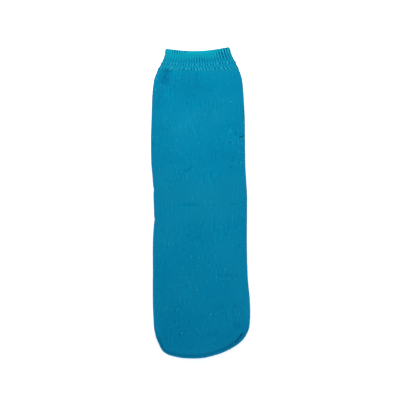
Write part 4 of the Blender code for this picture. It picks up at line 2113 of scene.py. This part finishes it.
@dataclass(frozen=True)
class Studio:
    """A plain pale floor, soft light and a camera that looks straight down."""

    form: SockForm
    table: LightTable = LightTable()
    floor_size: float = 6.0
    view_width: float = 409.6 * MM  # across the picture, at the height of the sock
    view_up: float = 2.7 * MM  # the picture's middle lies this far towards the cuff
    view_left: float = 0.4 * MM
    lens_mm: float = 140.0
    sensor_mm: float = 36.0
    far_end: float = 20.0
    floor_drop: float = 0.05 * MM  # keeps the floor off the grips' flat faces
    sky: str = "#f6faff"
    sky_strength: float = 0.84
    key_power: float = 1.12
    key_size: float = 0.30
    key_place: tuple[float, float, float] = (-0.01, 0.30, 0.30)
    key_colour: str = "#fff4da"

    def build(self) -> None:
        """Builds the floor, the light and the camera."""
        self._floor()
        self._light()
        self._camera()

    def _floor(self) -> None:
        """The table under the sock, just below its sole."""
        mesh = bpy.data.meshes.new("studio_floor")
        half = self.floor_size / 2
        corners = [(-half, -half, 0.0), (half, -half, 0.0), (half, half, 0.0), (-half, half, 0.0)]
        mesh.from_pydata(corners, [], [(0, 1, 2, 3)])
        mesh.materials.append(self.table.material())
        floor = bpy.data.objects.new("studio_floor", mesh)
        floor.location.z = -self.floor_drop
        bpy.context.scene.collection.objects.link(floor)

    def _light(self) -> None:
        """Even white surroundings, and a soft light over the cuff that falls off to the toe."""
        world = bpy.data.worlds.new("white_studio")
        world.use_nodes = True
        sky = world.node_tree.nodes["Background"]
        sky.inputs["Color"].default_value = linear(self.sky)
        sky.inputs["Strength"].default_value = self.sky_strength
        bpy.context.scene.world = world
        lamp = bpy.data.lights.new("soft_box", "AREA")
        lamp.energy = self.key_power
        lamp.shape = "DISK"
        lamp.size = self.key_size
        lamp.color = linear(self.key_colour)[:3]
        light = bpy.data.objects.new("soft_box", lamp)
        light.location = self.key_place
        aim = np.array((0.0, self.form.length / 4, 0.0)) - np.array(self.key_place)
        light.rotation_mode = "QUATERNION"
        light.rotation_quaternion = Vector(aim).to_track_quat("-Z", "Y")
        light.visible_camera = False
        bpy.context.scene.collection.objects.link(light)

    def _camera(self) -> None:
        """A long lens straight above the sock, with the toe at the foot of the picture."""
        data = bpy.data.cameras.new("overhead_camera")
        data.lens = self.lens_mm
        data.sensor_width = self.sensor_mm
        data.clip_end = self.far_end
        camera = bpy.data.objects.new("overhead_camera", data)
        distance = self.view_width * self.lens_mm / self.sensor_mm
        camera.location = (-self.view_left, self.view_up, distance + self.form.height / 2)
        bpy.context.scene.collection.objects.link(camera)
        bpy.context.scene.camera = camera
        bpy.context.scene.view_settings.view_transform = "Standard"


def main() -> None:
    """Builds and reports the sock's pieces in order, and then builds the studio."""
    logging.basicConfig(level=logging.INFO, format="%(name)s: %(message)s")
    form = SockForm.from_box(CAD_BOX)
    relief = ClothRelief(form)
    for maker in (
        KnitTube(form, relief),
        Cuff(form, relief),
        ToeSeam(form, relief),
        GripField(form),
        TerryLoops(form),
        WornFibre(form),
    ):
        for piece in maker.build():
            triangles = sum(len(face.vertices) - 2 for face in piece.data.polygons)
            LOG.info("%s: %d triangles", piece.name, triangles)
    Studio(form).build()


if __name__ == "__main__":
    main()
